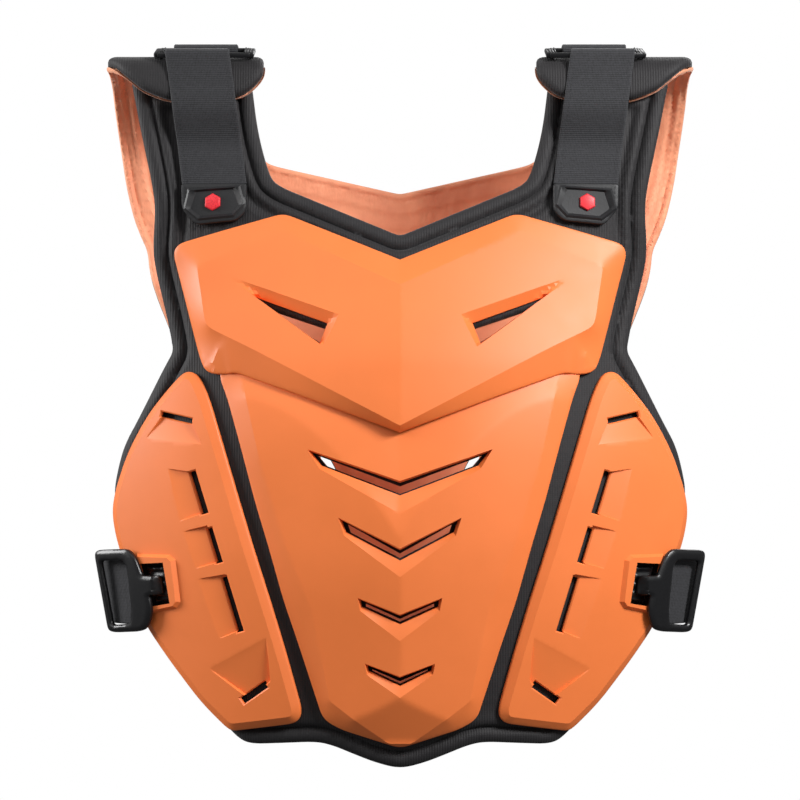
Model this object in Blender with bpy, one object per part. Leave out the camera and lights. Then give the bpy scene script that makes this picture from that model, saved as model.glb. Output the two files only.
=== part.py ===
"""Motorcycle armour vest: padded front and back panels, hard plates, straps and side buckles.

X is the viewer's right, -Y is the front and Z is up, in metres. The origin lies
mid-way between the shoulders, under the shoulder arches.
"""

import math

import bmesh
import bpy
from mathutils import Vector

# Driving sizes of the whole vest
HALF = 0.226            # half the width of the front pad at its widest
DROP = 0.536            # shoulder level down to the lowest tip of the front pad
PAD = 0.009             # foam pad with its mesh cover
LINING = 0.0012         # cloth lining
GAP = 0.0003            # clearance kept between pieces
SHELL = 0.0028          # wall of a hard plate
WEBBING = 0.0016        # thickness of the elastic webbing
STRAP_WIDTH = 0.050     # shoulder webbing
CELL = 0.042            # spacing of the lines along which a sheet is folded

# Depth of the chest in front of the shoulder line, as shares of DROP
CHEST_DEPTH = (
    # down, depth
    (-0.056, 0.071),
    (0.000, 0.075),
    (0.093, 0.093),
    (0.187, 0.127),
    (0.280, 0.160),
    (0.373, 0.188),
    (0.522, 0.213),
    (0.672, 0.218),
    (0.821, 0.209),
    (1.045, 0.187),
)

# Line of the back pad's inner face, from the front flap over the shoulder to the hem
SHOULDER_LINE = (
    # forward, up, as shares of DROP
    (0.0905, -0.0560),
    (0.0892, -0.0480),
    (0.0865, -0.0340),
    (0.0835, -0.0170),
    (0.0792, -0.0030),
    (0.0690, 0.0050),
    (0.0520, 0.0090),
    (0.0190, 0.0100),
    (-0.0190, 0.0080),
    (-0.0520, 0.0000),
    (-0.0800, -0.0130),
    (-0.1050, -0.0390),
    (-0.1240, -0.0710),
    (-0.1390, -0.1080),
    (-0.1510, -0.1590),
    (-0.1610, -0.2150),
    (-0.1690, -0.2800),
    (-0.1770, -0.3730),
    (-0.1830, -0.4850),
    (-0.1830, -0.6160),
    (-0.1760, -0.7460),
    (-0.1670, -0.8580),
    (-0.1580, -0.9900),
)
CREST_ROW = 7           # row of SHOULDER_LINE where the travel along it is zero
ARCH_START = -0.070     # travel from which the fold lines lie closer, for the arch
ARCH_STRETCH = 3.0      # how much closer they lie there

SIDE_WRAP_FRONT = 0.13993 * DROP    # how far the front's sides turn back
SIDE_WRAP_BACK = 0.08396 * DROP     # how far the back's sides turn forward
WRAP_POWER = 2.2

# Half outlines, right side, as shares of HALF and DROP
FRONT_PAD_EDGE = (
    # across, down
    (0.000, 0.238),
    (0.427, 0.163),
    (0.452, 0.144),
    (0.490, 0.085),
    (0.513, 0.011),
    (0.928, 0.011),
    (0.899, 0.070),
    (0.877, 0.114),
    (0.856, 0.158),
    (0.844, 0.198),
    (0.858, 0.258),
    (0.850, 0.287),
    (0.825, 0.331),
    (0.804, 0.367),
    (0.787, 0.404),
    (0.824, 0.432),
    (0.863, 0.464),
    (0.914, 0.505),
    (0.962, 0.541),
    (0.985, 0.575),
    (1.000, 0.608),
    (0.990, 0.643),
    (0.973, 0.672),
    (0.858, 0.808),
    (0.800, 0.843),
    (0.737, 0.876),
    (0.667, 0.906),
    (0.609, 0.938),
    (0.552, 0.962),
    (0.508, 0.968),
    (0.286, 0.962),
    (0.229, 0.967),
    (0.158, 0.979),
    (0.084, 0.991),
    (0.000, 1.000),
)

CHEST_PLATE_EDGE = (
    # across, down
    (0.000, 0.277),
    (0.372, 0.213),
    (0.395, 0.209),
    (0.420, 0.210),
    (0.735, 0.246),
    (0.775, 0.254),
    (0.780, 0.272),
    (0.672, 0.422),
    (0.652, 0.436),
    (0.611, 0.441),
    (0.542, 0.439),
    (0.336, 0.470),
    (0.000, 0.523),
)

BELLY_PLATE_EDGE = (
    # across, down
    (0.000, 0.496),
    (0.330, 0.446),
    (0.560, 0.420),
    (0.604, 0.428),
    (0.605, 0.446),
    (0.578, 0.476),
    (0.530, 0.547),
    (0.485, 0.618),
    (0.435, 0.688),
    (0.388, 0.759),
    (0.342, 0.816),
    (0.277, 0.901),
    (0.259, 0.925),
    (0.201, 0.940),
    (0.000, 0.968),
)

SIDE_PLATE_EDGE = (
    # across, down
    (0.731, 0.436),
    (0.790, 0.462),
    (0.862, 0.500),
    (0.932, 0.554),
    (0.972, 0.604),
    (0.984, 0.628),
    (0.984, 0.648),
    (0.970, 0.679),
    (0.872, 0.797),
    (0.783, 0.849),
    (0.670, 0.909),
    (0.587, 0.942),
    (0.565, 0.948),
    (0.352, 0.934),
    (0.332, 0.925),
    (0.330, 0.911),
    (0.383, 0.830),
    (0.434, 0.759),
    (0.488, 0.688),
    (0.539, 0.618),
    (0.590, 0.547),
    (0.642, 0.476),
    (0.674, 0.446),
    (0.698, 0.436),
)

BACK_EDGE_NECK = (
    # across, down the back
    (0.000, 0.162),
    (0.454, 0.120),
    (0.484, 0.114),
    (0.508, 0.105),
    (0.525, 0.086),
    (0.534, 0.065),
    (0.542, 0.037),
)
FLAP_EDGE = (
    # across, reach forward of the crest
    (0.530, 0.000),
    (0.470, 0.030),
    (0.465, 0.050),
    (0.466, 0.066),
    (0.478, 0.076),
    (0.499, 0.086),
    (0.527, 0.096),
    (0.561, 0.102),
    (0.688, 0.109),
    (0.788, 0.106),
    (0.823, 0.102),
    (0.857, 0.096),
    (0.892, 0.089),
    (0.926, 0.076),
    (0.965, 0.064),
    (1.007, 0.045),
    (1.020, 0.020),
    (1.024, 0.000),
)
BACK_EDGE_ARM = (
    # across, down the back
    (1.024, 0.025),
    (1.019, 0.053),
    (1.011, 0.083),
    (1.002, 0.112),
    (0.992, 0.142),
    (0.977, 0.172),
    (0.958, 0.202),
    (0.932, 0.229),
    (0.908, 0.250),
    (0.902, 0.278),
    (0.880, 0.312),
    (0.826, 0.369),
    (0.800, 0.400),
    (0.800, 0.425),
    (0.840, 0.462),
    (0.900, 0.515),
    (0.942, 0.578),
    (0.947, 0.653),
    (0.907, 0.746),
    (0.841, 0.840),
    (0.752, 0.914),
    (0.640, 0.950),
    (0.480, 0.966),
    (0.000, 0.976),
)

# Vents of the chest plate: pressed-in triangle and the hole at its bottom
CHEST_RECESS = (
    # across, down
    (0.582, 0.299),
    (0.249, 0.405),
    (0.200, 0.359),
)
CHEST_HOLE = (
    (0.484, 0.330),
    (0.268, 0.394),
    (0.241, 0.368),
)

# Chevron vents of the belly plate, widest at the top
CHEVRONS = (
    # end across, end down, lower end across, lower end down, top, bottom, facet foot
    (0.303, 0.546, 0.259, 0.570, 0.590, 0.610, 0.635),
    (0.200, 0.641, 0.177, 0.663, 0.683, 0.700, 0.722),
    (0.137, 0.752, 0.125, 0.767, 0.774, 0.789, 0.811),
    (0.114, 0.844, 0.103, 0.857, 0.861, 0.876, 0.891),
)

# Slots of the side plates: two ends of the slot's mid line and its width
SIDE_SLOTS = (
    # across, down, across, down, width
    (0.800, 0.497, 0.693, 0.507, 0.0080),
    (0.693, 0.578, 0.648, 0.638, 0.0125),
    (0.634, 0.658, 0.598, 0.707, 0.0110),
    (0.584, 0.727, 0.528, 0.804, 0.0110),
    (0.523, 0.903, 0.443, 0.878, 0.0110),
)

# Notch of the side plates with its raised rim
NOTCH_HOLE = (
    # across, down
    (0.868, 0.711),
    (0.783, 0.708),
    (0.760, 0.766),
    (0.828, 0.772),
)
NOTCH_RIM = (
    # across, down
    (0.884, 0.697),
    (0.766, 0.697),
    (0.747, 0.704),
    (0.730, 0.764),
    (0.744, 0.773),
    (0.838, 0.783),
)

# Two openings low in the back pad
BACK_OPENING = (
    # across, down
    (0.196, 0.566),
    (0.292, 0.560),
    (0.270, 0.592),
    (0.214, 0.598),
)

COLORS = {
    # red, green, blue, roughness
    "mesh_black": (0.022, 0.020, 0.023, 0.85),
    "lining_coral": (0.86, 0.20, 0.10, 0.80),
    "plate_orange": (0.95, 0.24, 0.06, 0.40),
    "webbing_black": (0.030, 0.030, 0.033, 0.75),
    "rubber_black": (0.035, 0.035, 0.038, 0.60),
    "badge_red": (0.80, 0.03, 0.05, 0.50),
    "plastic_black": (0.015, 0.015, 0.017, 0.35),
}

for old in list(bpy.data.objects):
    bpy.data.objects.remove(old, do_unlink=True)

vest = bpy.data.collections.new("motorcycle_armour_vest")
bpy.context.scene.collection.children.link(vest)


def lerp_table(rows, x):
    """Value of a two-column table at x, straight between its rows."""
    if x <= rows[0][0]:
        return rows[0][1]
    for (a, b), (c, d) in zip(rows, rows[1:]):
        if x <= c:
            return b + (d - b) * (x - a) / (c - a)
    return rows[-1][1]


def ease(t):
    """Smooth step between 0 and 1."""
    t = min(1.0, max(0.0, t))
    return t * t * (3.0 - 2.0 * t)


def side_share(z):
    """How much of the side wrap is reached at height z: none at the shoulders."""
    return ease((-0.0746 * DROP - z) / (0.3358 * DROP))


def front_point(u, v):
    """Point of the front pad's outer face."""
    depth = DROP * lerp_table(CHEST_DEPTH, -v / DROP)
    wrap = SIDE_WRAP_FRONT * side_share(v) * (abs(u) / (0.9513 * HALF)) ** WRAP_POWER
    return Vector((u, wrap - depth, v))


line = [Vector((0.0, -a * DROP, b * DROP)) for a, b in SHOULDER_LINE]
travel = [0.0]
for before, after in zip(line, line[1:]):
    travel.append(travel[-1] - (after - before).length)
travel = [t - travel[CREST_ROW] for t in travel]


def line_point(s):
    """Point of the shoulder line at travel s, carried straight on past its ends."""
    k = 0
    while k < len(line) - 2 and s < travel[k + 1]:
        k += 1
    t = (s - travel[k]) / (travel[k + 1] - travel[k])
    return line[k] + (line[k + 1] - line[k]) * t


def stretched(s):
    """Sheet coordinate of a travel: the arch is stretched so its folds lie closer."""
    return s if s < ARCH_START else ARCH_START + (s - ARCH_START) * ARCH_STRETCH


def behind(down):
    """Sheet coordinate at which the line reaches a share of DROP down the back."""
    z = -down * DROP
    for k in range(CREST_ROW, len(line) - 1):
        if line[k].z >= z >= line[k + 1].z:
            t = (line[k].z - z) / (line[k].z - line[k + 1].z)
            return stretched(travel[k] + (travel[k + 1] - travel[k]) * t)
    return stretched(travel[CREST_ROW])


def back_point(u, t):
    """Point of the back pad's inner face at sheet coordinate t."""
    s = t if t < ARCH_START else ARCH_START + (t - ARCH_START) / ARCH_STRETCH
    p = line_point(s)
    wrap = SIDE_WRAP_BACK * side_share(p.z) * (abs(u) / (0.9513 * HALF)) ** WRAP_POWER
    side = -1.0 if p.y > 0.0 else 0.0
    return Vector((u, p.y + side * wrap, p.z))


def normal_of(point, u, v, sign):
    """Outward unit normal of a surface function."""
    d = 0.002
    du = point(u + d, v) - point(u - d, v)
    dv = point(u, v + d) - point(u, v - d)
    return (du.cross(dv) * sign).normalized()


node_cache = {}


def node(skin, i, j):
    """Surface point and normal at one crossing of the fold lines."""
    key = (skin, i, j)
    if key not in node_cache:
        point = front_point if skin == "front" else back_point
        sign = 1.0 if skin == "front" else -1.0
        u = i * CELL
        v = j * CELL
        node_cache[key] = (point(u, v), normal_of(point, u, v, sign))
    return node_cache[key]


def bend(skin, u, v, w):
    """Carry a flat point (u, v) at height w onto the folded surface, alike on both sides."""
    if u < 0.0:
        p = bend(skin, -u, v, w)
        return Vector((-p.x, p.y, p.z))
    a = u / CELL
    b = v / CELL
    i = math.floor(a)
    j = math.floor(b)
    a -= i
    b -= j
    if a + b <= 1.0:
        base, along, up = node(skin, i, j), node(skin, i + 1, j), node(skin, i, j + 1)
    else:
        base, along, up = node(skin, i + 1, j + 1), node(skin, i, j + 1), node(skin, i + 1, j)
        a = 1.0 - a
        b = 1.0 - b
    p = base[0] + (along[0] - base[0]) * a + (up[0] - base[0]) * b
    n = base[1] + (along[1] - base[1]) * a + (up[1] - base[1]) * b
    return p + n * w


def scaled(rows):
    """Table of shares turned into flat front coordinates."""
    return [(a * HALF, -b * DROP) for a, b in rows]


def both_sides(half):
    """Half outline from centre to centre, closed by its mirror image."""
    other = [(-u, v) for u, v in reversed(half) if abs(u) > 1e-6]
    return list(half) + other


def mirrored(loop):
    """Mirror image of a closed outline."""
    return [(-u, v) for u, v in loop]


def inset(loop, distance):
    """Closed outline moved inwards by a distance."""
    area = sum(a[0] * b[1] - b[0] * a[1] for a, b in zip(loop, loop[1:] + loop[:1]))
    turn = 1.0 if area > 0.0 else -1.0
    out = []
    count = len(loop)
    for k in range(count):
        p = Vector(loop[k])
        before = (p - Vector(loop[k - 1])).normalized()
        after = (Vector(loop[(k + 1) % count]) - p).normalized()
        left_before = Vector((-before.y, before.x)) * turn
        left_after = Vector((-after.y, after.x)) * turn
        mid = (left_before + left_after).normalized()
        reach = distance / max(0.5, mid.dot(left_after))
        out.append(tuple(p + mid * reach))
    return out


def distance_to(loop, u, v):
    """Distance from a flat point to a closed outline."""
    best = 1.0
    for a, b in zip(loop, loop[1:] + loop[:1]):
        ax, ay = a
        dx = b[0] - ax
        dy = b[1] - ay
        t = ((u - ax) * dx + (v - ay) * dy) / (dx * dx + dy * dy)
        t = min(1.0, max(0.0, t))
        best = min(best, math.hypot(u - ax - t * dx, v - ay - t * dy))
    return best


def inside(loop, u, v):
    """Whether a flat point lies inside a closed outline."""
    hit = False
    for a, b in zip(loop, loop[1:] + loop[:1]):
        if (a[1] > v) != (b[1] > v):
            if u < a[0] + (v - a[1]) * (b[0] - a[0]) / (b[1] - a[1]):
                hit = not hit
    return hit


def flat_regions(regions):
    """Filled flat sheet made of regions, each an outline with holes, joined at shared points."""
    bm = bmesh.new()
    for loops in regions:
        curve = bpy.data.curves.new("fill", "CURVE")
        curve.dimensions = "2D"
        curve.fill_mode = "BOTH"
        for loop in loops:
            spline = curve.splines.new("POLY")
            spline.points.add(len(loop) - 1)
            spline.use_cyclic_u = True
            for point, (u, v) in zip(spline.points, loop):
                point.co = (u, v, 0.0, 1.0)
        obj = bpy.data.objects.new("fill", curve)
        bpy.context.scene.collection.objects.link(obj)
        graph = bpy.context.evaluated_depsgraph_get()
        mesh = bpy.data.meshes.new_from_object(obj.evaluated_get(graph))
        region = bmesh.new()
        region.from_mesh(mesh)
        bmesh.ops.remove_doubles(region, verts=region.verts, dist=2e-6)
        for edge in region.edges:
            edge.seam = len(edge.link_faces) == 1
        region.to_mesh(mesh)
        region.free()
        bm.from_mesh(mesh)
        bpy.data.objects.remove(obj, do_unlink=True)
        bpy.data.meshes.remove(mesh)
        bpy.data.curves.remove(curve)
    bmesh.ops.remove_doubles(bm, verts=bm.verts, dist=2e-6)
    bmesh.ops.recalc_face_normals(bm, faces=bm.faces)
    for face in bm.faces:
        if face.normal.z < 0.0:
            face.normal_flip()
    return bm


def cut(bm, co, no, side=0.0):
    """Cut the sheet along a straight line, on one side of the middle or on both."""
    faces = [f for f in bm.faces if side * f.calc_center_median().x >= 0.0]
    edges = {e for f in faces for e in f.edges}
    verts = {v for f in faces for v in f.verts}
    geom = list(verts) + list(edges) + faces
    bmesh.ops.bisect_plane(bm, geom=geom, dist=2e-6, plane_co=co, plane_no=no)


def on_fold(edge):
    """Whether a flat edge lies on a fold line."""
    a, b = (v.co for v in edge.verts)
    for p, q in ((a.x, b.x), (a.y, b.y), (abs(a.x) + a.y, abs(b.x) + b.y)):
        if abs(p - q) < 4e-6 and abs(p / CELL - round(p / CELL)) * CELL < 4e-6:
            return True
    return False


def fold_cuts(bm):
    """Cut the sheet along every fold line of the surface grid."""
    us = [v.co.x for v in bm.verts]
    vs = [v.co.y for v in bm.verts]
    for i in range(math.floor(min(us) / CELL) + 1, math.ceil(max(us) / CELL)):
        cut(bm, (i * CELL, 0.0, 0.0), (1.0, 0.0, 0.0))
    for j in range(math.floor(min(vs) / CELL) + 1, math.ceil(max(vs) / CELL)):
        cut(bm, (0.0, j * CELL, 0.0), (0.0, 1.0, 0.0))
    low = math.floor(min(abs(a) + b for a, b in zip(us, vs)) / CELL)
    high = math.ceil(max(abs(a) + b for a, b in zip(us, vs)) / CELL)
    for k in range(min(low, math.floor(min(vs) / CELL)), high + 1):
        cut(bm, (k * CELL, 0.0, 0.0), (1.0, 1.0, 0.0), 1.0)
        cut(bm, (-k * CELL, 0.0, 0.0), (-1.0, 1.0, 0.0), -1.0)
    spare = [e for e in bm.edges if len(e.link_faces) == 2 and not e.seam and not on_fold(e)]
    bmesh.ops.dissolve_edges(bm, edges=spare, use_verts=False)
    loose = [v for v in bm.verts if len(v.link_edges) == 2 and not any(e.seam for e in v.link_edges)]
    bmesh.ops.dissolve_limit(bm, angle_limit=0.001, verts=loose, edges=[])


def finish(name, bm, color, flip=False):
    """Turn a bmesh into a named object with its material."""
    if flip:
        for vert in bm.verts:
            vert.co.x = -vert.co.x
        bmesh.ops.reverse_faces(bm, faces=bm.faces)
    bmesh.ops.triangulate(bm, faces=bm.faces)
    if bm.calc_volume(signed=True) < 0.0:
        bmesh.ops.reverse_faces(bm, faces=bm.faces)
    mesh = bpy.data.meshes.new(name)
    bm.to_mesh(mesh)
    bm.free()
    obj = bpy.data.objects.new(name, mesh)
    vest.objects.link(obj)
    r, g, b, rough = COLORS[color]
    material = bpy.data.materials.new(name + "_" + color)
    material.use_nodes = True
    shader = material.node_tree.nodes["Principled BSDF"]
    shader.inputs["Base Color"].default_value = (r, g, b, 1.0)
    shader.inputs["Roughness"].default_value = rough
    mesh.materials.append(material)
    return obj


def sheet(name, regions, skin, low, high, color, flip=False, creases=()):
    """Bent sheet with its own lower and upper height over the surface."""
    bm = flat_regions(regions)
    fold_cuts(bm)
    for u in creases:
        cut(bm, (u, 0.0, 0.0), (1.0, 0.0, 0.0))
    grown = bmesh.ops.extrude_face_region(bm, geom=bm.faces[:])
    top = {v for v in grown["geom"] if isinstance(v, bmesh.types.BMVert)}
    for vert in bm.verts:
        u, v, _ = vert.co
        w = high(u, v) if vert in top else low(u, v)
        vert.co = bend(skin, u, v, w)
    bmesh.ops.recalc_face_normals(bm, faces=bm.faces)
    return finish(name, bm, color, flip=flip)


def level(w):
    """Height function that is the same everywhere."""
    return lambda u, v: w


def shell_under(high):
    """Lower face of a hard shell: one wall thickness under its upper face."""
    return lambda u, v: max(GAP + 0.0002, high(u, v) - SHELL)


def rise(a, b, u, v):
    """Signed distance of a flat point to the left of the line from a to b."""
    dx = b[0] - a[0]
    dy = b[1] - a[1]
    return (dx * (v - a[1]) - dy * (u - a[0])) / math.hypot(dx, dy)


def share_point(across, down):
    """One point given in shares."""
    return (across * HALF, -down * DROP)


def pressed(high, ring, hole, depth):
    """Height function with the zone between a ring and its hole pressed in or raised."""
    def height(u, v):
        h = high(u, v)
        a = distance_to(ring, u, v)
        b = distance_to(hole, u, v)
        if a < 1e-5 or not (inside(ring, u, v) or b < 1e-5):
            return h
        return h - depth * a / (a + b)
    return height


# Front pad with its border roll, and the lining behind it
front_edge = both_sides(scaled(FRONT_PAD_EDGE))
ROLL_AT = 0.0045        # top of the border roll, in from the edge
GROOVE_AT = 0.0105      # bottom of the groove beside it
FLAT_AT = 0.0145        # where the flat of the pad starts
front_roll = inset(front_edge, ROLL_AT)
front_groove = inset(front_edge, GROOVE_AT)
front_flat = inset(front_edge, FLAT_AT)
recesses = [scaled(CHEST_RECESS), mirrored(scaled(CHEST_RECESS))]
vents = [scaled(CHEST_HOLE), mirrored(scaled(CHEST_HOLE))]
chevron_holes = []
chevron_recesses = []
for ea, ed, la, ld, top_down, low_down, foot in CHEVRONS:
    ring = both_sides([
        share_point(0.0, top_down),
        share_point(ea, ed),
        share_point(la + 0.004, ld + 0.003),
        share_point(0.0, foot),
    ])
    hole = both_sides([
        share_point(0.0, top_down + 0.0025),
        share_point(ea - 0.008, ed + 0.0035),
        share_point(la, ld - 0.0015),
        share_point(0.0, low_down),
    ])
    chevron_recesses.append(ring)
    chevron_holes.append(hole)
pad_holes = [inset(h, 0.0016) for h in vents + chevron_holes]


def pad_face(u, v):
    """Upper face of the front pad: rounded rim, border roll and groove, then flat."""
    d = distance_to(front_edge, u, v)
    rows = ((0.0, -0.0030), (ROLL_AT, 0.0), (GROOVE_AT, -0.0020), (FLAT_AT, 0.0))
    return lerp_table(rows, d)


sheet(
    "front_pad",
    [[front_edge, front_roll], [front_roll, front_groove], [front_groove, front_flat],
     [front_flat] + pad_holes],
    "front", level(-PAD), pad_face, "mesh_black",
)
sheet(
    "front_lining",
    [[inset(front_edge, 0.002)] + pad_holes],
    "front", level(-PAD - GAP - LINING), level(-PAD - GAP), "lining_coral",
)

# Back pad: panel behind the body with two yokes that arch over the shoulders
back_edge = [(a * HALF, behind(b)) for a, b in BACK_EDGE_NECK]
back_edge += [(a * HALF, stretched(b * DROP)) for a, b in FLAP_EDGE]
back_edge += [(a * HALF, behind(b)) for a, b in BACK_EDGE_ARM]
back_edge = both_sides(back_edge)
opening = [(a * HALF, behind(b)) for a, b in BACK_OPENING]
openings = [opening, mirrored(opening)]
back_rim = inset(back_edge, 0.006)


def back_face(u, v):
    """Outer face of the back pad with a rounded rim."""
    return PAD - 0.003 + 0.003 * min(1.0, distance_to(back_edge, u, v) / 0.006)


sheet(
    "back_pad", [[back_edge, back_rim], [back_rim] + openings],
    "back", level(0.0), back_face, "mesh_black",
)
sheet(
    "back_lining", [[inset(back_edge, 0.0008)] + openings],
    "back", level(-GAP - LINING), level(-GAP), "lining_coral",
)

# Hard chest plate: chamfers up to two planes that meet in a middle ridge
chest_edge = both_sides(scaled(CHEST_PLATE_EDGE))
NECK_A, NECK_B = share_point(0.0, 0.277), share_point(0.395, 0.209)
ARM_A, ARM_B = share_point(0.395, 0.209), share_point(0.780, 0.255)
OUT_A, OUT_B = share_point(0.780, 0.255), share_point(0.669, 0.429)
LOW_A, LOW_B = share_point(0.637, 0.365), share_point(0.000, 0.518)


def chest_face(u, v):
    """Upper face of the chest plate."""
    u = abs(u)
    return max(0.0032, min(
        0.0125 - 0.018 * u,
        0.0034 + 0.40 * rise(NECK_B, NECK_A, u, v),
        0.0034 + 0.40 * rise(ARM_B, ARM_A, u, v),
        0.0034 + 0.40 * rise(OUT_B, OUT_A, u, v),
        0.0113 + 0.090 * rise(LOW_A, LOW_B, u, v),
    ))


chest_inner = both_sides(scaled((
    # across, down
    (0.000, 0.322),
    (0.398, 0.240),
    (0.682, 0.279),
    (0.637, 0.365),
    (0.000, 0.518),
)))
sheet(
    "chest_plate",
    [[chest_edge, chest_inner], [chest_inner] + recesses]
    + [[r, h] for r, h in zip(recesses, vents)],
    "front",
    shell_under(pressed(pressed(chest_face, recesses[0], vents[0], 0.005),
                        recesses[1], vents[1], 0.005)),
    pressed(pressed(chest_face, recesses[0], vents[0], 0.005), recesses[1], vents[1], 0.005),
    "plate_orange",
)

# Hard belly plate, its top end tucked under the chest plate
belly_edge = both_sides(scaled(BELLY_PLATE_EDGE))
belly_inner = both_sides(scaled((
    # across, down
    (0.000, 0.507),
    (0.520, 0.434),
    (0.464, 0.558),
    (0.375, 0.682),
    (0.291, 0.768),
    (0.232, 0.893),
    (0.030, 0.958),
)))
TUCK_A, TUCK_B = share_point(0.542, 0.439), share_point(0.000, 0.523)


def belly_face(u, v):
    """Upper face of the belly plate: flat middle planes, side chamfers, tucked top."""
    u = abs(u)
    d = distance_to(belly_edge, u, v)
    tuck = rise(TUCK_A, TUCK_B, u, v) * -1.0
    return max(0.0032, min(
        0.0105 - 0.025 * u,
        0.0034 + 0.45 * d,
        0.0046 + 0.10 * max(0.0, tuck),
    ))


belly_top = belly_face
for ring, hole in zip(chevron_recesses, chevron_holes):
    belly_top = pressed(belly_top, ring, hole, 0.0035)
sheet(
    "belly_plate",
    [[belly_edge, belly_inner], [belly_inner] + chevron_recesses]
    + [[r, h] for r, h in zip(chevron_recesses, chevron_holes)],
    "front", shell_under(belly_top), belly_top, "plate_orange",
)

# Hard side plates with slots and a raised notch for the buckle
side_edge = scaled(SIDE_PLATE_EDGE)
side_inner = inset(side_edge, 0.010)
slots = []
for ua, va, ub, vb, width in SIDE_SLOTS:
    a = Vector(share_point(ua, va))
    b = Vector(share_point(ub, vb))
    across = (b - a).normalized()
    across = Vector((-across.y, across.x)) * width * 0.25
    slots.append([tuple(a + across), tuple(a - across), tuple(b - across), tuple(b + across)])
notch_hole = scaled(NOTCH_HOLE)
notch_rim = scaled(NOTCH_RIM)


def side_face(u, v):
    """Upper face of a side plate."""
    return min(0.0034 + 0.35 * distance_to(side_edge, u, v), 0.0066)


side_top = pressed(side_face, notch_rim, notch_hole, -0.0020)
for flip, word in ((False, "right"), (True, "left")):
    sheet(
        "side_plate_" + word,
        [[side_edge, notch_rim] + slots, [notch_rim, notch_hole]],
        "front", shell_under(side_top), side_top, "plate_orange", flip=flip,
    )


def profile_ribbon(name, skin, rows, u0, u1, lean, color, flip, pivot=0.0):
    """Closed profile in travel and height, drawn out across the surface and bent with it."""
    bm = flat_regions([[[(s, w) for s, w in rows]]])
    cuts = [s for s, _ in rows]
    for j in range(math.floor(min(cuts) / CELL), math.ceil(max(cuts) / CELL) + 1):
        cut(bm, (j * CELL, 0.0, 0.0), (1.0, 0.0, 0.0))
    start = bm.faces[:]
    grown = bmesh.ops.extrude_face_region(bm, geom=start)
    moved = {v for v in grown["geom"] if isinstance(v, bmesh.types.BMVert)}
    for vert in bm.verts:
        s, w, _ = vert.co
        shift = lean * (s - pivot)
        u = (u1 if vert in moved else u0) + shift
        vert.co = (u, s, w)
    for i in range(math.floor(u0 / CELL), math.ceil(u1 / CELL) + 1):
        cut(bm, (i * CELL, 0.0, 0.0), (1.0, 0.0, 0.0))
    for k in range(-30, 30):
        cut(bm, (k * CELL, 0.0, 0.0), (1.0, 1.0, 0.0))
    for vert in bm.verts:
        u, s, w = vert.co
        vert.co = bend(skin, u, s, w)
    bmesh.ops.recalc_face_normals(bm, faces=bm.faces)
    return finish(name, bm, color, flip=flip)


# Shoulder webbing: lies on the front pad, climbs over the flap and wraps the ring's bar
BAR_HEIGHT = 0.0087                 # centre of the ring's front bar over the pad
WRAP_INNER = 0.0032                 # radius of the webbing's inner face round a bar
WRAP_OUTER = WRAP_INNER + WEBBING
BAR = Vector((BAR_HEIGHT, 0.02425 * DROP))
STRAP_MIDDLE = 0.635                # share of HALF
STRAP_LEAN = 0.136
STRAP_FOOT = -0.1642                # share of DROP
STRAP_ROWS = (
    # level, rise of the flap under it, as shares of DROP, lower face height
    (STRAP_FOOT, 0.0, GAP + 0.0002),
    (-0.1306, 0.0, GAP + 0.0003),
    (-0.1007, 0.0, GAP + 0.0009),
    (-0.0597, 0.0041, PAD + 2 * GAP),
    (-0.0187, 0.0051, PAD + 2 * GAP),
    (0.02425, 0.0, BAR_HEIGHT + WRAP_INNER),
)
strap_low = [(a * DROP, b * DROP + c) for a, b, c in STRAP_ROWS]
strap_high = [(s, w + WEBBING) for s, w in strap_low]
wrap_out = []
wrap_in = []
for k in range(1, 7):
    turn = math.pi * k / 6.0
    wrap_out.append((BAR.y + WRAP_OUTER * math.sin(turn), BAR.x + WRAP_OUTER * math.cos(turn)))
    wrap_in.append((BAR.y + WRAP_INNER * math.sin(turn), BAR.x + WRAP_INNER * math.cos(turn)))
strap_profile = strap_low + wrap_in + wrap_out[::-1] + strap_high[::-1]
for flip, word in ((False, "right"), (True, "left")):
    profile_ribbon(
        "shoulder_strap_" + word, "front", strap_profile,
        STRAP_MIDDLE * HALF - STRAP_WIDTH / 2, STRAP_MIDDLE * HALF + STRAP_WIDTH / 2,
        STRAP_LEAN, "webbing_black", flip, pivot=STRAP_FOOT * DROP,
    )

# Rubber tabs on the strap ends, each with a plain raised badge
TAB_EDGE = (
    # across, down
    (0.523, 0.1650),
    (0.747, 0.1645),
    (0.744, 0.2000),
    (0.694, 0.2240),
    (0.553, 0.2190),
    (0.522, 0.2050),
)
tab_edge = scaled(TAB_EDGE)
tab_inner = inset(tab_edge, 0.004)
tab_pocket = inset(tab_edge, 0.0085)
BADGE = 0.0065                      # corner radius of the badge
badge_middle = Vector(share_point(0.637, 0.192))
badge_edge = [
    (badge_middle.x + BADGE * math.cos(math.pi * k / 3), badge_middle.y + BADGE * math.sin(math.pi * k / 3))
    for k in range(6)
]


def tab_face(u, v):
    """Upper face of a rubber tab: bevelled rim and shallow middle."""
    d = distance_to(tab_edge, u, v)
    return 0.0030 + 0.0025 * min(1.0, d / 0.004)


for flip, word in ((False, "right"), (True, "left")):
    sheet(
        "strap_tab_" + word, [[tab_edge, tab_inner], [tab_inner]], "front",
        level(GAP + 0.0002), tab_face, "rubber_black", flip=flip,
    )
    sheet(
        "tab_badge_" + word, [[badge_edge]], "front",
        level(0.0055 + GAP), level(0.0055 + GAP + 0.0008), "badge_red", flip=flip,
    )

# Shoulder rings: flat plastic loops lying on the yokes
RING_WIDE = 0.078
RING_DEEP = 0.034
RING_BAR = 0.0040


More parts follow.
